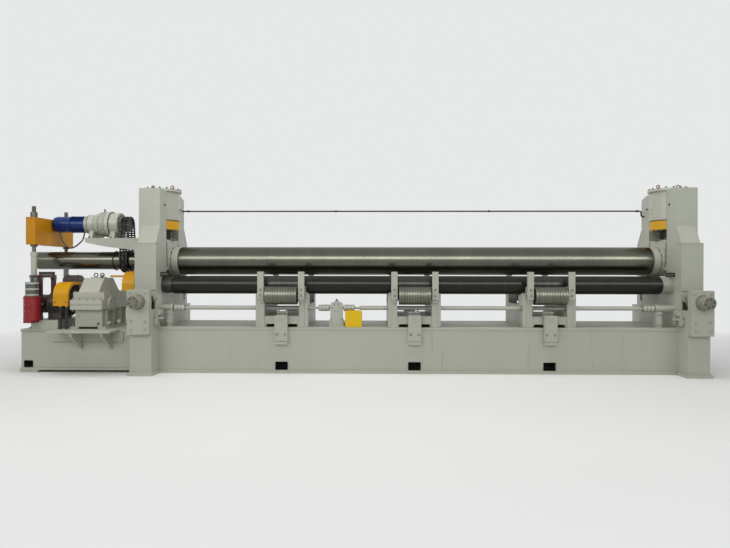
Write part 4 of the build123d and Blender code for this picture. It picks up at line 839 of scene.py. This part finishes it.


# Right covers in machine paint, left covers painted black as shade.
covers_left_shaded = cover_paint_left_shaded()
dress(covers_left_shaded, "lower_bearing_covers")
dress(plain_steel("oiled_rod", (0.035, 0.031, 0.026), 0.24), "lift_rods")
dress(dark_steel, "window_stop_bars")
LOWER_Z = 1.395
LOWER_Y = 0.380
cover_spots, cover_rims, bar_spots = [], [], []
for side in (-1, 1):
    for y_side in (-1, 1):
        inward = (-side, 0, 0)
        cover_spots += ring((side * COVER_X, y_side * LOWER_Y, LOWER_Z), 0.114, 8, inward, 0.3)
        cover_rims.append((side * 4.040, y_side * LOWER_Y, LOWER_Z))
        bar_spots += grid([side * 4.076], [y_side * y for y in (0.33, 0.415, 0.50)], [1.568], inward)
bolts("lower_cover_bolts", "lower_carriage", cover_spots, 0.016, 0.0045, bolt_steel, washer=0.0)


def band(inner, outer, half, inside):
    """A ring's profile: its half width at the inner radius, and inside it at the outer one."""
    return [(inner, -half), (outer, -inside), (outer, inside), (inner, half)]


rim = band(0.1305, 0.138, 0.012, 0.009)
turned("lower_cover_rims", "lower_carriage", rim, cover_rims, RIGHT, covers_left_shaded)
for end, y in (("front", -LOWER_Y), ("rear", LOWER_Y)):
    end_plate = [(0, 0), (0, 0.008), (0.062, 0.008), (0.066, 0.004), (0.066, 0.0), (0, 0)]
    turned(f"{end}_roll_ends", f"{end}_roll", end_plate, [(4.44, y, LOWER_Z)], RIGHT, dark_steel)
bolts("stop_bar_bolts", "base", bar_spots, 0.024, 0.012, bright_bolt, washer=0.003)


# Stands under the lower rolls.
# Welded brackets on the bed carry the support rollers in pairs of cheeks.  Bolts and
# keeper plates for the axles hold to their faces, and a grease block to the first.
dress(machine_paint, "support_stand_1", "support_stand_2", "support_stand_3")
dress(machine_paint, "stand_guard_bars", "stand_stop_plates")
worn_paint = enamel("worn_paint", (0.27, 0.275, 0.235), (0.25, 0.25, 0.21), (0.06, 0.055, 0.05), 0.36)
AXLE_Y = 0.6197
AXLE_Z = 1.233
CHEEK_OUT = 0.356
STOP_Y = 0.684
keepers, keeper_spots, guard_spots, pad_spots, shoulder_spots = [], [], [], [], []
stand_seams, plate_spots, plate_groove_shadows = [], [], []
for x in STAND_XS:
    for y_side in (-1, 1):
        outward = (0, y_side, 0)
        face_y = y_side * STOP_Y
        for x_side in (-1, 1):
            face = x + x_side * CHEEK_OUT
            outer = face + x_side * 0.008
            keepers.append((face, outer, y_side * 0.604, y_side * 0.652, 1.195, 1.262))
            keeper_spots += grid([outer], [y_side * 0.629], (1.208, 1.249), (x_side, 0, 0))
            guard_spots += grid([x + x_side * 0.321], [y_side * 0.702], (1.330, 1.236), outward)
            stand_seams.append([(face, y_side * 0.601, 0.735), (face, y_side * 0.601, 1.262)])
        pad_spots += grid((x - 0.06, x + 0.06), [y_side * 0.505], [0.978], UP)
        plate_spots += grid((x - 0.0635, x + 0.0635), [face_y], [0.621], outward)
        plate_groove_shadows.append([(x - 0.103, face_y, 0.512), (x + 0.103, face_y, 0.512)])
    shoulder_spots += grid((x - 0.3865, x + 0.3865), (-0.50, -0.25, 0.25, 0.45), [1.267], UP)
slabs("axle_keepers", "lower_carriage", keepers, bolt_steel, 0.0015)
bolts("axle_keeper_bolts", "lower_carriage", keeper_spots, 0.015, 0.008, bright_bolt, washer=0.002)
bolts("guard_bar_bolts", "lower_carriage", guard_spots, 0.026, 0.014, worn_paint, stud=0.004)
bolts("stand_shoulder_bolts", "lower_carriage", shoulder_spots, 0.024, 0.014, worn_paint, washer=0.003)
bolts("stand_pad_bolts", "lower_carriage", pad_spots, 0.022, 0.014, worn_paint, washer=0.003)
beads("stand_welds", "lower_carriage", stand_seams, 0.0045, machine_paint)
face = STAND_XS[0] + CHEEK_OUT
levels = [1.183 + i * 0.037 for i in range(6)]
grease_slabs = [(face, face + 0.030, -0.650, -0.612, 1.166, 1.192)]
grease_slabs += [(face, face + 0.024, -0.647, -0.618, z - 0.011, z + 0.011) for z in levels]
slabs("grease_blocks", "lower_carriage", grease_slabs, bright_bolt, 0.0015)
nipples = grid([face + 0.024], [-0.632], levels, RIGHT)
bolts("grease_nipples", "lower_carriage", nipples, 0.013, 0.010, bright_bolt, washer=0.001, stud=0.008)
bolts("stop_plate_bolts", "base", plate_spots, 0.028, 0.014, worn_paint, stud=0.004)
# A black line low on each stop plate is painted shadow of its groove.
beads("stop_plate_groove_shadows", "base", plate_groove_shadows, 0.0028, seam_black_and_painted_shade)
for y_side in (-1, 1):
    spots = [(x, y_side * STOP_Y, 0.846) for x in STAND_XS]
    collar = [(0, 0.0006), (0.026, 0.0006), (0.027, 0.0040), (0.032, 0.0040), (0.034, 0.0)]
    turned(f"stop_plate_rims_{y_side}", "base", collar, spots, (0, y_side, 0), machine_paint, steps=32)


# Support rollers.
# Hard steel rollers, bright where the lower rolls run on them, dark in the grooves.
# Each row turns with its axles between the cheeks, and steel rings end the axles.
def roller_steel():
    """Bright rings, darker in the grooves."""
    finish = Finish("roller_steel")
    y_off = abs(finish.y) - AXLE_Y
    z_off = finish.z - AXLE_Z
    reach = (y_off * y_off + z_off * z_off) ** 0.5
    groove = 1.0 - reach.step(0.1405, 0.1435)
    lines = finish.noise(200.0, detail=6.0, rough=0.7, stretch=(1.0, 0.02, 0.02))
    bands = finish.noise(14.0, detail=4.0, stretch=(1.0, 0.03, 0.03)).step(0.4, 0.7)
    bright = finish.mix(bands * 0.6, (0.170, 0.170, 0.138), (0.105, 0.105, 0.084))
    tone = finish.mix(groove, bright, (0.030, 0.028, 0.023))
    normal = finish.bump(lines, strength=0.25, distance=0.0005)
    rough = 0.36 + bands * 0.12 + groove * 0.1
    return finish.shade(base_color=tone, metallic=0.9 - groove * 0.6, roughness=rough, normal=normal)


dress(roller_steel(), "front_support_rollers", "rear_support_rollers")
for end, y in (("front", -AXLE_Y), ("rear", AXLE_Y)):
    spots = [(x + dx, y, AXLE_Z) for x in STAND_XS for dx in (-0.2492, 0.2492)]
    axle_end = [(0.026, -0.0015), (0.026, 0.0015), (0.060, 0.0015), (0.062, 0.0)]
    axle_end += [(0.060, -0.0015), (0.026, -0.0015)]
    turned(f"{end}_axle_ends", f"{end}_rollers", axle_end, spots, RIGHT, dark_steel, steps=40)


# Shaft that keeps both ends of the lower rolls in step.
# Painted tubes and flanged sleeves run between end boxes; a worm box and its
# covered motor turn them.  Flange bolts, screws, a breather and two nuts are added.
dress(machine_paint, "sync_shaft", "sync_worm_box")
lemon_yellow = enamel("lemon_yellow", (0.72, 0.46, 0.002), (0.60, 0.38, 0.01), (0.2, 0.14, 0.04), mirror=0.25)
dress(lemon_yellow, "sync_motor_cover")
SHAFT_Y = -0.480
SHAFT_Z = 1.030
WORM_FACE = -0.5702
SLEEVES = ((-3.884, -3.719), (-1.550, -1.385), (-1.149, -0.984), (3.620, 3.785))
sleeve_spots, sleeve_seams = [], []
for first, last in SLEEVES:
    sleeve_spots += ring((first, SHAFT_Y, SHAFT_Z), 0.040, 6, LEFT)
    sleeve_spots += ring((last, SHAFT_Y, SHAFT_Z), 0.040, 6, RIGHT)
    sleeve_seams += [((first + last) / 2 + shift, SHAFT_Y, SHAFT_Z) for shift in (-0.030, 0.030)]
bolts("sleeve_bolts", "cross_shaft", sleeve_spots, 0.013, 0.007, bolt_steel, washer=0.0)
seam = band(0.0521, 0.0545, 0.003, 0.002)
turned("sleeve_seams", "cross_shaft", seam, sleeve_seams, RIGHT, bolt_steel, steps=40)
pedestal_spots = []
for x in (-3.947, 3.848):
    for z in (0.775, 0.930):
        pedestal_spots += grid((x - 0.024, x + 0.024), [-0.555], [z], FRONT)
worm_face = ring((-1.267, WORM_FACE, SHAFT_Z), 0.060, 6, FRONT, 0.3)
worm_face += grid((-1.345, -1.189), [WORM_FACE], (0.795, 0.845), FRONT)
worm_feet = grid((-1.390, -1.144), (-0.585, -0.375), [0.755], UP)
cover_screws = grid((-1.110, -0.874), [-0.600], (0.752, 0.865, 0.978), FRONT)
nut_spots = mirrored([((INNER_X - 0.003, -0.80, 1.184), LEFT)])
bolts("pedestal_bolts", "base", pedestal_spots, 0.014, 0.008, bolt_steel, washer=0.002)
bolts("worm_box_face_bolts", "base", worm_face, 0.012, 0.006, worn_paint, washer=0.0)
bolts("worm_box_foot_bolts", "base", worm_feet, 0.016, 0.010, bolt_steel, washer=0.002, stud=0.004)
bolts("motor_cover_screws", "base", cover_screws, 0.010, 0.004, bright_bolt, washer=0.001)
breather = [((-1.267, SHAFT_Y, 1.1525), UP)]
bolts("worm_box_breather", "base", breather, 0.024, 0.014, brake_red, washer=0.003, stud=0.006)
bolts("thrust_nuts", "base", nut_spots, 0.055, 0.026, worn_paint, washer=0.006, stud=0.016)


# Drive bed and its shelf.
# The drive stands on its own welded box beside the left frame, with a shelf on
# gussets in front.  It has a lifting pocket on each side, lined black as painted
# shade, and long weld seams.
dress(machine_paint, "drive_bed", "reducer_shelf", "motor_plinth")
# Black sheet inside the pockets is painted shade.
drive_pockets = [(-6.266, -6.118, 0.076, 0.186, y_side * 0.612, y_side * 0.45) for y_side in (-1, 1)]
shells("drive_pocket_shade_liners", "base", drive_pockets, seam_black_and_painted_shade)
drive_seams = [[(-6.315, y, z), (-4.445, y, z)] for y in (-0.640, 0.640) for z in (0.655, 0.042)]
drive_seams.append([(-5.781, -0.640, 0.487), (-4.660, -0.640, 0.487)])
drive_seams.append([(-5.700, -0.660, 0.657), (-4.715, -0.660, 0.657)])
for x in (-5.315, -4.838):
    drive_seams.append([(x, -0.662, 0.40), (x, -0.662, 0.655), (x, -0.93, 0.655)])
beads("drive_bed_welds", "base", drive_seams, 0.005, machine_paint)
CASE_FACE = -0.5905
plugs = [((-4.902, CASE_FACE, 0.787), FRONT), ((-4.741, CASE_FACE, 0.819), FRONT)]
bolts("drive_plug_bolts", "base", plugs, 0.040, 0.020, bright_bolt, stud=0.008)


# Main gearbox.
# A split cast housing in pale paint.  Bolts clamp its flanges, and it has an
# inspection cover and eye bolts on the hump, a sight glass and a drain plug.
dress(pale_paint, "main_reducer_case", "main_reducer_cover")
CASE_X0 = -5.489
CASE_X1 = -4.981
case_bolts, case_nuts = [], []
for y in (-0.655, 0.250):
    case_bolts += row((CASE_X0 + 0.030, y, 1.158), (CASE_X1 - 0.030, y, 1.158), 5, UP)
    case_nuts += row((CASE_X0 + 0.030, y, 1.002), (CASE_X1 - 0.030, y, 1.002), 5, DOWN)
bolts("case_flange_bolts", "base", case_bolts, 0.026, 0.016, worn_paint, stud=0.008)
bolts("case_flange_nuts", "base", case_nuts, 0.026, 0.016, worn_paint, stud=0.012)
# A black line along the flange split is painted shadow of the gap between the flanges.
beads("case_split_shadow", "base", [[(CASE_X0, -0.6805, 1.08), (CASE_X1, -0.6805, 1.08)]], 0.0022, seam_black_and_painted_shade)
band_spots = []
for y in (-0.56, -0.30, -0.05, 0.08):
    band_spots += grid((-5.463, -5.007), [y], [1.278], UP)
bolts("case_band_bolts", "base", band_spots, 0.022, 0.014, worn_paint, stud=0.006)
slabs("inspection_cover", "base", [(-5.325, -5.145, -0.335, -0.175, 1.504, 1.516)], pale_paint, 0.003)
lid_spots = grid((-5.31, -5.235, -5.16), (-0.32, -0.19), [1.516], UP)
bolts("inspection_bolts", "base", lid_spots, 0.012, 0.007, bolt_steel, washer=0.001)
HUMP_TOP = 1.503
case_eyes = [(-5.110, -0.400, HUMP_TOP), (-5.360, -0.112, HUMP_TOP)]
lifting_eyes("case_eyes", "base", case_eyes, 0.080, bolt_steel, turn=0.4)
turned(
    "case_breather", "base",
    [(0, 0), (0, 0.052), (0.016, 0.050), (0.020, 0.036), (0.012, 0.030)]
    + [(0.012, 0.010), (0.018, 0.008), (0.018, 0.0)],
    [(-5.235, -0.140, HUMP_TOP)], UP, bolt_steel, steps=24,
)
boss_spots = ring((-4.947, -0.380, 1.080), 0.092, 8, RIGHT, 0.2)
bolts("case_boss_bolts", "base", boss_spots, 0.016, 0.010, worn_paint, washer=0.002)
turned(
    "case_sight_glass", "base",
    [(0, 0.002), (0.014, 0.002), (0.015, 0.010), (0.022, 0.010), (0.022, 0.0), (0, 0.0)],
    [(-5.390, CASE_FACE, 0.900)], FRONT, bright_bolt, steps=28,
)
bolts("case_drain_plug", "base", [((-5.080, CASE_FACE, 0.775), FRONT)], 0.028, 0.018, bolt_steel)
case_feet = grid((-5.505, -4.995), (-0.56, -0.20, 0.20), [0.725], UP)
bolts("case_foot_bolts", "base", case_feet, 0.030, 0.020, worn_paint, stud=0.010)
# A black plate at the foot of the case front is painted shade of a slot.
slabs("case_slot_shade", "base", [(-5.386, -5.096, -0.5915, -0.585, 0.692, 0.722)], seam_black_and_painted_shade, 0.001)


# Main motor.
# A finned cast motor, almost black, with a terminal box and cable glands; its
# coupling to the gearbox sits under the yellow guard.
motor_black = enamel("motor_black", (0.030, 0.020, 0.016), (0.055, 0.048, 0.040), (0.02, 0.018, 0.015), 0.4)
dress(motor_black, "main_motor")
MOTOR_Y = -0.350
MOTOR_Z = 1.080


def cooling_fins(name, body, span, axis, reach, count, thick, material, skip):
    """Straight cooling fins along X, round an axis; skip holds angle ranges without fins."""
    mesh = bmesh.new()
    (x0, x1), (inner, outer) = span, reach
    for i in range(count):
        angle = 360.0 * i / count
        if any(low <= angle <= high for low, high in skip):
            continue
        spin = Matrix.Rotation(radians(angle), 4, "X")
        size = Matrix.Diagonal((abs(x1 - x0), thick, outer - inner, 1.0))
        place = Matrix.Translation((0, 0, (inner + outer) / 2))
        set_out = Matrix.Translation(((x0 + x1) / 2, *axis)) @ spin @ place @ size
        bmesh.ops.create_cube(mesh, size=1.0, matrix=set_out)
    keep(name, mesh, body, material)


bare = ((40.0, 75.0), (150.0, 210.0), (270.0, 285.0))
motor_axis = (MOTOR_Y, MOTOR_Z)
fin_reach = (0.196, 0.222)
cooling_fins(
    "main_motor_fins", "base", (-5.915, -5.615), motor_axis, fin_reach, 48, 0.006, motor_black, bare
)
terminal_spots = grid((-5.860, -5.625), (-0.185, -0.035), [1.549], UP)
bolts("terminal_box_screws", "base", terminal_spots, 0.014, 0.006, bolt_steel, washer=0.001)
turned(
    "terminal_glands", "base",
    [(0, 0), (0.024, 0), (0.024, 0.014), (0.020, 0.016), (0.020, 0.030), (0.013, 0.038), (0, 0.038)],
    [(-5.800, -0.200, 1.250), (-5.690, -0.200, 1.250)], FRONT, bolt_steel, steps=24,
)
coupling = ring((-5.590, MOTOR_Y, MOTOR_Z), 0.095, 8, LEFT)
bolts("coupling_bolts", "base", coupling, 0.020, 0.012, bolt_steel, washer=0.0)


# Brake.
# A drum brake with dark red shoe arms, pulled together by a spring on a rod and
# opened by the red thruster in front of it.
dark_casting = enamel("dark_casting", (0.045, 0.040, 0.036), (0.09, 0.08, 0.065), (0.03, 0.028, 0.024), 0.42)
dark_red = enamel("dark_red", (0.075, 0.014, 0.014), (0.09, 0.03, 0.025), (0.03, 0.012, 0.012), 0.36)
slate_paint = enamel("slate_paint", (0.06, 0.072, 0.072), (0.11, 0.12, 0.115), (0.03, 0.03, 0.03), 0.34)
dress(dark_steel, "brake_drum")
dress(dark_red, "brake_frame")
dress(brake_red, "brake_thruster")
dress(slate_paint, "brake_thruster_head")
DRUM_X = -6.054
pin_spots = []
for y in (MOTOR_Y - 0.187, MOTOR_Y + 0.187):
    for z in (0.865, MOTOR_Z, 1.490):
        pin_spots += [((DRUM_X - 0.034, y, z), LEFT), ((DRUM_X + 0.034, y, z), RIGHT)]
bolts("brake_pins", "base", pin_spots, 0.030, 0.012, bright_bolt, washer=0.003, stud=0.006)
hub = [(0, 0), (0, 0.022), (0.040, 0.022), (0.046, 0.016), (0.052, 0.0)]
turned("drum_hub", "base", hub, [(-6.109, MOTOR_Y, MOTOR_Z)], LEFT, dark_casting, steps=40)


def spring(name, body, first, last, radius, wire, turns, material):
    """A coil spring between two points."""
    first, last = Vector(first), Vector(last)
    way = (last - first).to_track_quat("Z", "Y").to_matrix()
    length = (last - first).length
    steps = turns * 14
    line = []
    for i in range(steps + 1):
        angle = 2 * pi * turns * i / steps
        line.append(first + way @ Vector((radius * cos(angle), radius * sin(angle), length * i / steps)))
    beads(name, body, [line], wire, material, step=0.007)


SPRING_Z = 1.580
ends = ((DRUM_X, -0.52, SPRING_Z), (DRUM_X, -0.19, SPRING_Z))
spring("brake_spring", "base", *ends, 0.022, 0.0045, 12, black_paint)
beads("spring_rod", "base", [[(DRUM_X, -0.555, SPRING_Z), (DRUM_X, -0.150, SPRING_Z)]], 0.009, bolt_steel)
spring_lugs = [(DRUM_X - 0.02, DRUM_X + 0.02, y - 0.01, y + 0.01, 1.548, 1.606) for y in (-0.535, -0.165)]
slabs("spring_lugs", "base", spring_lugs, dark_casting, 0.003)
THRUSTER_X = -6.084
THRUSTER_Y = -0.700
for name, hoop, levels, coat in (
    ("thruster_bands", band(0.1185, 0.1235, 0.006, 0.005), (0.850, 1.195), brake_red),
    ("thruster_head_bands", band(0.0920, 0.0950, 0.014, 0.012), (1.238, 1.330, 1.422), pale_paint),
):
    turned(name, "base", hoop, [(THRUSTER_X, THRUSTER_Y, z) for z in levels], UP, coat)
head_spots = ring((THRUSTER_X, THRUSTER_Y, 1.214), 0.106, 8, UP, 0.15)
bolts("thruster_head_bolts", "base", head_spots, 0.016, 0.010, bolt_steel, washer=0.002)
thruster_box = (THRUSTER_X - 0.045, THRUSTER_X + 0.045, -0.828, -0.800, 0.980, 1.090)
slabs("thruster_box", "base", [thruster_box], brake_red, 0.005)
box_screws = grid((THRUSTER_X - 0.033, THRUSTER_X + 0.033), [-0.828], (0.992, 1.078), FRONT)
bolts("thruster_box_screws", "base", box_screws, 0.009, 0.004, bright_bolt, washer=0.001)


# Yellow guards.
# Bent sheet guards over the coupling and the gear end.  Small screws hold them, and
# the coupling's guard has black legs.
def guard_with_dark_legs():
    """Yellow sheet above, and black legs below."""
    finish = Finish("guard_with_dark_legs")
    sheet = finish.z.step(1.045, 1.050)
    cloud = finish.noise(2.0, detail=4.0)
    yellow = finish.mix(cloud.step(0.4, 0.7) * 0.4, (0.60, 0.295, 0.0), (0.50, 0.24, 0.003))
    tone = finish.mix(sheet, (0.018, 0.016, 0.014), yellow)
    normal = finish.bump(finish.noise(5.0, detail=2.0), strength=0.2, distance=0.001)
    rough = 0.36 + cloud * 0.14
    return finish.shade(base_color=tone, roughness=rough, specular_ior_level=0.25, normal=normal)


dress(guard_yellow, "gear_guard")
dress(guard_with_dark_legs(), "shaft_guard")
GUARD_FACE = -0.6505
guard_screws = grid((-5.660, -5.561), [GUARD_FACE], (0.76, 0.90, 1.04), FRONT)
guard_screws += grid((-5.752, -5.568), [GUARD_FACE], [1.12], FRONT)
bolts("shaft_guard_screws", "base", guard_screws, 0.016, 0.007, bolt_steel, washer=0.003)
turns = [radians(turn) for turn in (-105, -70, -35, 0, 35, 70, 105)]
gear_ring = [((-4.698, -0.380 + 0.198 * sin(a), 1.395 + 0.198 * cos(a)), LEFT) for a in turns]
bolts("gear_guard_screws", "base", gear_ring, 0.014, 0.007, bolt_steel, washer=0.003)


# Drive of the upper roll.
# It rides on a bracket from the left upper block: a painted planetary gearbox with
# bolted ring flanges, a blue finned motor and a chain down to the roll's tail.
motor_blue = enamel(
    "motor_blue", (0.001, 0.020, 0.135), (0.003, 0.026, 0.115), (0.03, 0.03, 0.04), 0.20, mirror=0.3
)
dress(machine_paint, "drive_bracket")
dress(pale_paint, "planetary_reducer")
dress(motor_blue, "top_drive_motor")
DRIVE_Z = 2.410507


def on_drive(name, profile, xs, material, way=RIGHT, steps=64):
    """Turned rings round the drive's axis."""
    turned(name, CARRIED, profile, [(x, 0, DRIVE_Z) for x in xs], way, material, steps=steps)


def drive_ring(x, radius, count, way, start):
    """Bolt places round the drive's axis."""
    return ring((x, 0, DRIVE_Z), radius, count, way, start)


flanges = (-5.290, -5.232)
lip = [(0.1735, -0.013), (0.2055, -0.013), (0.2085, -0.010)]
on_drive("planetary_rings", lip + [(r, -h) for r, h in reversed(lip)], flanges, pale_paint)
ring_spots = drive_ring(-5.303, 0.191, 18, LEFT, 0.1) + drive_ring(-5.219, 0.191, 18, RIGHT, 0.1)
bolts("planetary_ring_bolts", CARRIED, ring_spots, 0.017, 0.012, bolt_steel, washer=0.002)
on_drive("planetary_seams", band(0.2080, 0.2094, 0.002, 0.002), flanges, seam_black_and_painted_shade)
for i, (x, reach) in enumerate(((-5.500, 0.1650), (-5.385, 0.1725), (-5.190, 0.2155), (-5.120, 0.2155))):
    joint = band(reach - 0.004, reach + 0.0015, 0.003, 0.003)
    on_drive(f"planetary_joint_{i + 1}", joint, [x], seam_black_and_painted_shade)
flange_studs = drive_ring(-5.500, 0.1525, 12, LEFT, 0.2) + drive_ring(-5.120, 0.2055, 20, RIGHT, 0.1)
bolts("planetary_flange_bolts", CARRIED, flange_studs, 0.015, 0.010, bolt_steel, washer=0.001)
lip = [(0.1400, -0.012), (0.1500, -0.012), (0.1515, -0.009)]
on_drive("motor_flange_ring", lip + [(r, -h) for r, h in reversed(lip)], [-5.548], pale_paint)
end_spots = drive_ring(-4.972, 0.150, 12, RIGHT, 0.1)
bolts("planetary_end_bolts", CARRIED, end_spots, 0.017, 0.012, bolt_steel, washer=0.002)
lifting_eyes("planetary_eye", CARRIED, [(-5.262, 0.0, 2.614)], 0.060, bolt_steel, turn=pi / 2)
drive_axis = (0.0, DRIVE_Z)
fin_reach = (0.124, 0.140)
bare = ((70.0, 110.0),)
cooling_fins("top_motor_fins", CARRIED, (-5.805, -5.585), drive_axis, fin_reach, 36, 0.0045, motor_blue, bare)
on_drive("top_motor_bands", band(0.128, 0.1425, 0.006, 0.006), (-5.812, -5.572), motor_blue)
cowl_spots = []
for a in (radians(turn) for turn in (45, 135, 225, 315)):
    cowl_spots.append(((-5.850, 0.1345 * sin(a), DRIVE_Z + 0.1345 * cos(a)), (0, sin(a), cos(a))))
bolts("fan_cover_screws", CARRIED, cowl_spots, 0.010, 0.005, bright_bolt, washer=0.001)
for i, reach in enumerate((0.030, 0.052, 0.074, 0.096, 0.116)):
    wire = [(reach - 0.004, 0.0), (reach - 0.004, 0.003), (reach + 0.004, 0.003), (reach + 0.004, 0.0)]
    on_drive(f"fan_grille_{i + 1}", wire, [-6.104], black_paint, way=LEFT, steps=40)
terminal_box = [(-5.760, -5.640, 0.128, 0.188, DRIVE_Z - 0.05, DRIVE_Z + 0.05)]
terminal_box += [(-5.768, -5.632, 0.188, 0.196, DRIVE_Z - 0.058, DRIVE_Z + 0.058)]
slabs("top_motor_terminal_box", CARRIED, terminal_box, motor_blue, 0.004)
bracket_bolts = grid((-5.415, -5.052), (-0.235, 0.235), [2.165], UP)
bolts("bracket_bolts", CARRIED, bracket_bolts, 0.026, 0.016, bolt_steel, stud=0.008)


# Lead of the top motor.
# A black cable hangs in a loop under the motor, fixed at both of its ends.
lead = [(-6.000, -0.060, 2.292), (-5.990, -0.072, 2.215), (-5.955, -0.080, 2.130), (-5.905, -0.082, 2.060)]
lead += [(-5.850, -0.082, 2.012), (-5.795, -0.080, 2.004), (-5.735, -0.078, 2.030), (-5.665, -0.072, 2.085)]
lead += [(-5.610, -0.066, 2.145), (-5.590, -0.060, 2.215), (-5.588, -0.050, 2.292)]
beads("motor_lead", CARRIED, [lead], 0.0115, black_paint, step=0.03)


# Chain and sprockets.
# A roller chain of blackened steel joins the small sprocket of the top drive to the
# large one on the roll's tail.  Link plates and riveted pins stand out of both faces.
def chain_steel():
    """Oiled black steel, brighter where plates rub."""
    finish = Finish("chain_steel")
    rub = finish.noise(26.0, detail=5.0).step(0.5, 0.7)
    tone = finish.mix(rub, (0.022, 0.021, 0.019), (0.095, 0.09, 0.08))
    normal = finish.bump(finish.noise(220.0, detail=3.0), strength=0.2, distance=0.0004)
    return finish.shade(base_color=tone, metallic=0.8, roughness=0.36 + rub * 0.12, normal=normal)


chain_black = chain_steel()
dress(chain_black, "drive_chain", "drive_sprocket", "tail_sprocket")
PITCH = 0.0381
TOP_TEETH, LOW_TEETH, LINKS = 20, 31, 58
CHAIN_LEFT, CHAIN_RIGHT = -4.928, -4.808
PLATE_REACH, PLATE_WAIST, PLATE_THICK = 0.0165, 0.0125, 0.004
top_reach = PITCH / 2 / sin(pi / TOP_TEETH)
low_reach = PITCH / 2 / sin(pi / LOW_TEETH)
wrap = asin((low_reach - top_reach) / (DRIVE_Z - UPPER_Z))
top_links = (0.5 - wrap / pi) * TOP_TEETH
low_links = (0.5 + wrap / pi) * LOW_TEETH
side_links = (LINKS - top_links - low_links) / 2
top_side = Vector((top_reach * cos(wrap), DRIVE_Z + top_reach * sin(wrap)))
low_side = Vector((low_reach * cos(wrap), UPPER_Z + low_reach * sin(wrap)))
pins = []
for link in range(LINKS):
    down = link - top_links
    under = down - side_links
    up = under - low_links
    if down < 0:
        turn = wrap + link * 2 * pi / TOP_TEETH
        pins.append((top_reach * cos(turn), DRIVE_Z + top_reach * sin(turn)))
    elif under < 0:
        y, z = top_side.lerp(low_side, down / side_links)
        pins.append((-y, z))
    elif up < 0:
        turn = pi - wrap + under * 2 * pi / LOW_TEETH
        pins.append((low_reach * cos(turn), UPPER_Z + low_reach * sin(turn)))
    else:
        pins.append(tuple(low_side.lerp(top_side, up / side_links)))
links = bmesh.new()
for x, out in ((CHAIN_LEFT, -1), (CHAIN_RIGHT, 1)):
    for i in range(0, LINKS, 2):
        start = Vector((x, *pins[i]))
        end = Vector((x, *pins[i + 1]))
        along = (end - start).normalized()
        across = Vector(RIGHT).cross(along)
        rim = []
        for centre, first in ((end, -1), (start, 1)):
            for k in range(9):
                turn = pi * (first / 2 + k / 8)
                rim.append(centre + (along * cos(turn) + across * sin(turn)) * PLATE_REACH)
            rim.append((start + end) / 2 - across * PLATE_WAIST * first)
        front = [links.verts.new(p + Vector((out * PLATE_THICK, 0, 0))) for p in rim]
        back = [links.verts.new(p - Vector((out * 0.001, 0, 0))) for p in rim]
        links.faces.new(front)
        for k in range(len(rim)):
            links.faces.new((front[k - 1], front[k], back[k], back[k - 1]))
bmesh.ops.recalc_face_normals(links, faces=links.faces)
keep("chain_link_plates", links, CARRIED, chain_black)
pin_head = [(0.0065, -0.001), (0.0065, 0.0055), (0.0050, 0.0070), (0.0, 0.0070)]
for end, x, way in (("left", CHAIN_LEFT, LEFT), ("right", CHAIN_RIGHT, RIGHT)):
    turned(f"chain_pins_{end}", CARRIED, pin_head, [(x, *pin) for pin in pins], way, bright_bolt, steps=12)
sprocket_spots = ring((-4.916, 0, UPPER_Z), 0.162, 8, LEFT)
bolts("tail_sprocket_bolts", "upper_roll_set", sprocket_spots, 0.012, 0.004, bright_bolt, washer=0.0)


# Clamp at the roll's tail.
# A yellow cross beam lies over the roll's tail on two threaded rods, each in its own
# cylinder.  Big nuts hold the beam on the rods.
beam_yellow = enamel("beam_yellow", (0.52, 0.220, 0.0), (0.42, 0.18, 0.004), (0.13, 0.08, 0.03), mirror=0.25)
dress(beam_yellow, "tail_beam")
dress(bolt_steel, "tail_rods")
dress(pale_paint, "tail_cylinders")
TAIL_X = -6.197
ROD_Y = 0.466
beam_seams = [[(-6.273, y, z), (-6.121, y, z)] for y in (-0.5555, 0.5555) for z in (2.047, 2.484)]
beads("beam_welds", "tail_clamp", beam_seams, 0.004, beam_yellow)
THREAD_PITCH = 0.0105
for name, body, profile, levels, coat, steps in (
    ("rod_threads", "tail_clamp", [(0.0290, -0.0035), (0.0315, 0.0), (0.0290, 0.0035)],
     [2.582 + i * THREAD_PITCH for i in range(8)], bolt_steel, 28),
    ("tail_cylinder_heads", "base",
     [(0.0445, -0.075), (0.0505, -0.072), (0.0505, -0.003), (0.0480, 0.0), (0.0295, 0.0)],
     [1.930], pale_paint, 40),
    ("tail_cylinder_feet", "base", [(0.0445, 0.0), (0.066, 0.0), (0.066, 0.016), (0.0445, 0.018)],
     [0.6905], bolt_steel, 40),
):
    spots = [(TAIL_X, y, z) for y in (-ROD_Y, ROD_Y) for z in levels]
    turned(name, body, profile, spots, UP, coat, steps=steps)
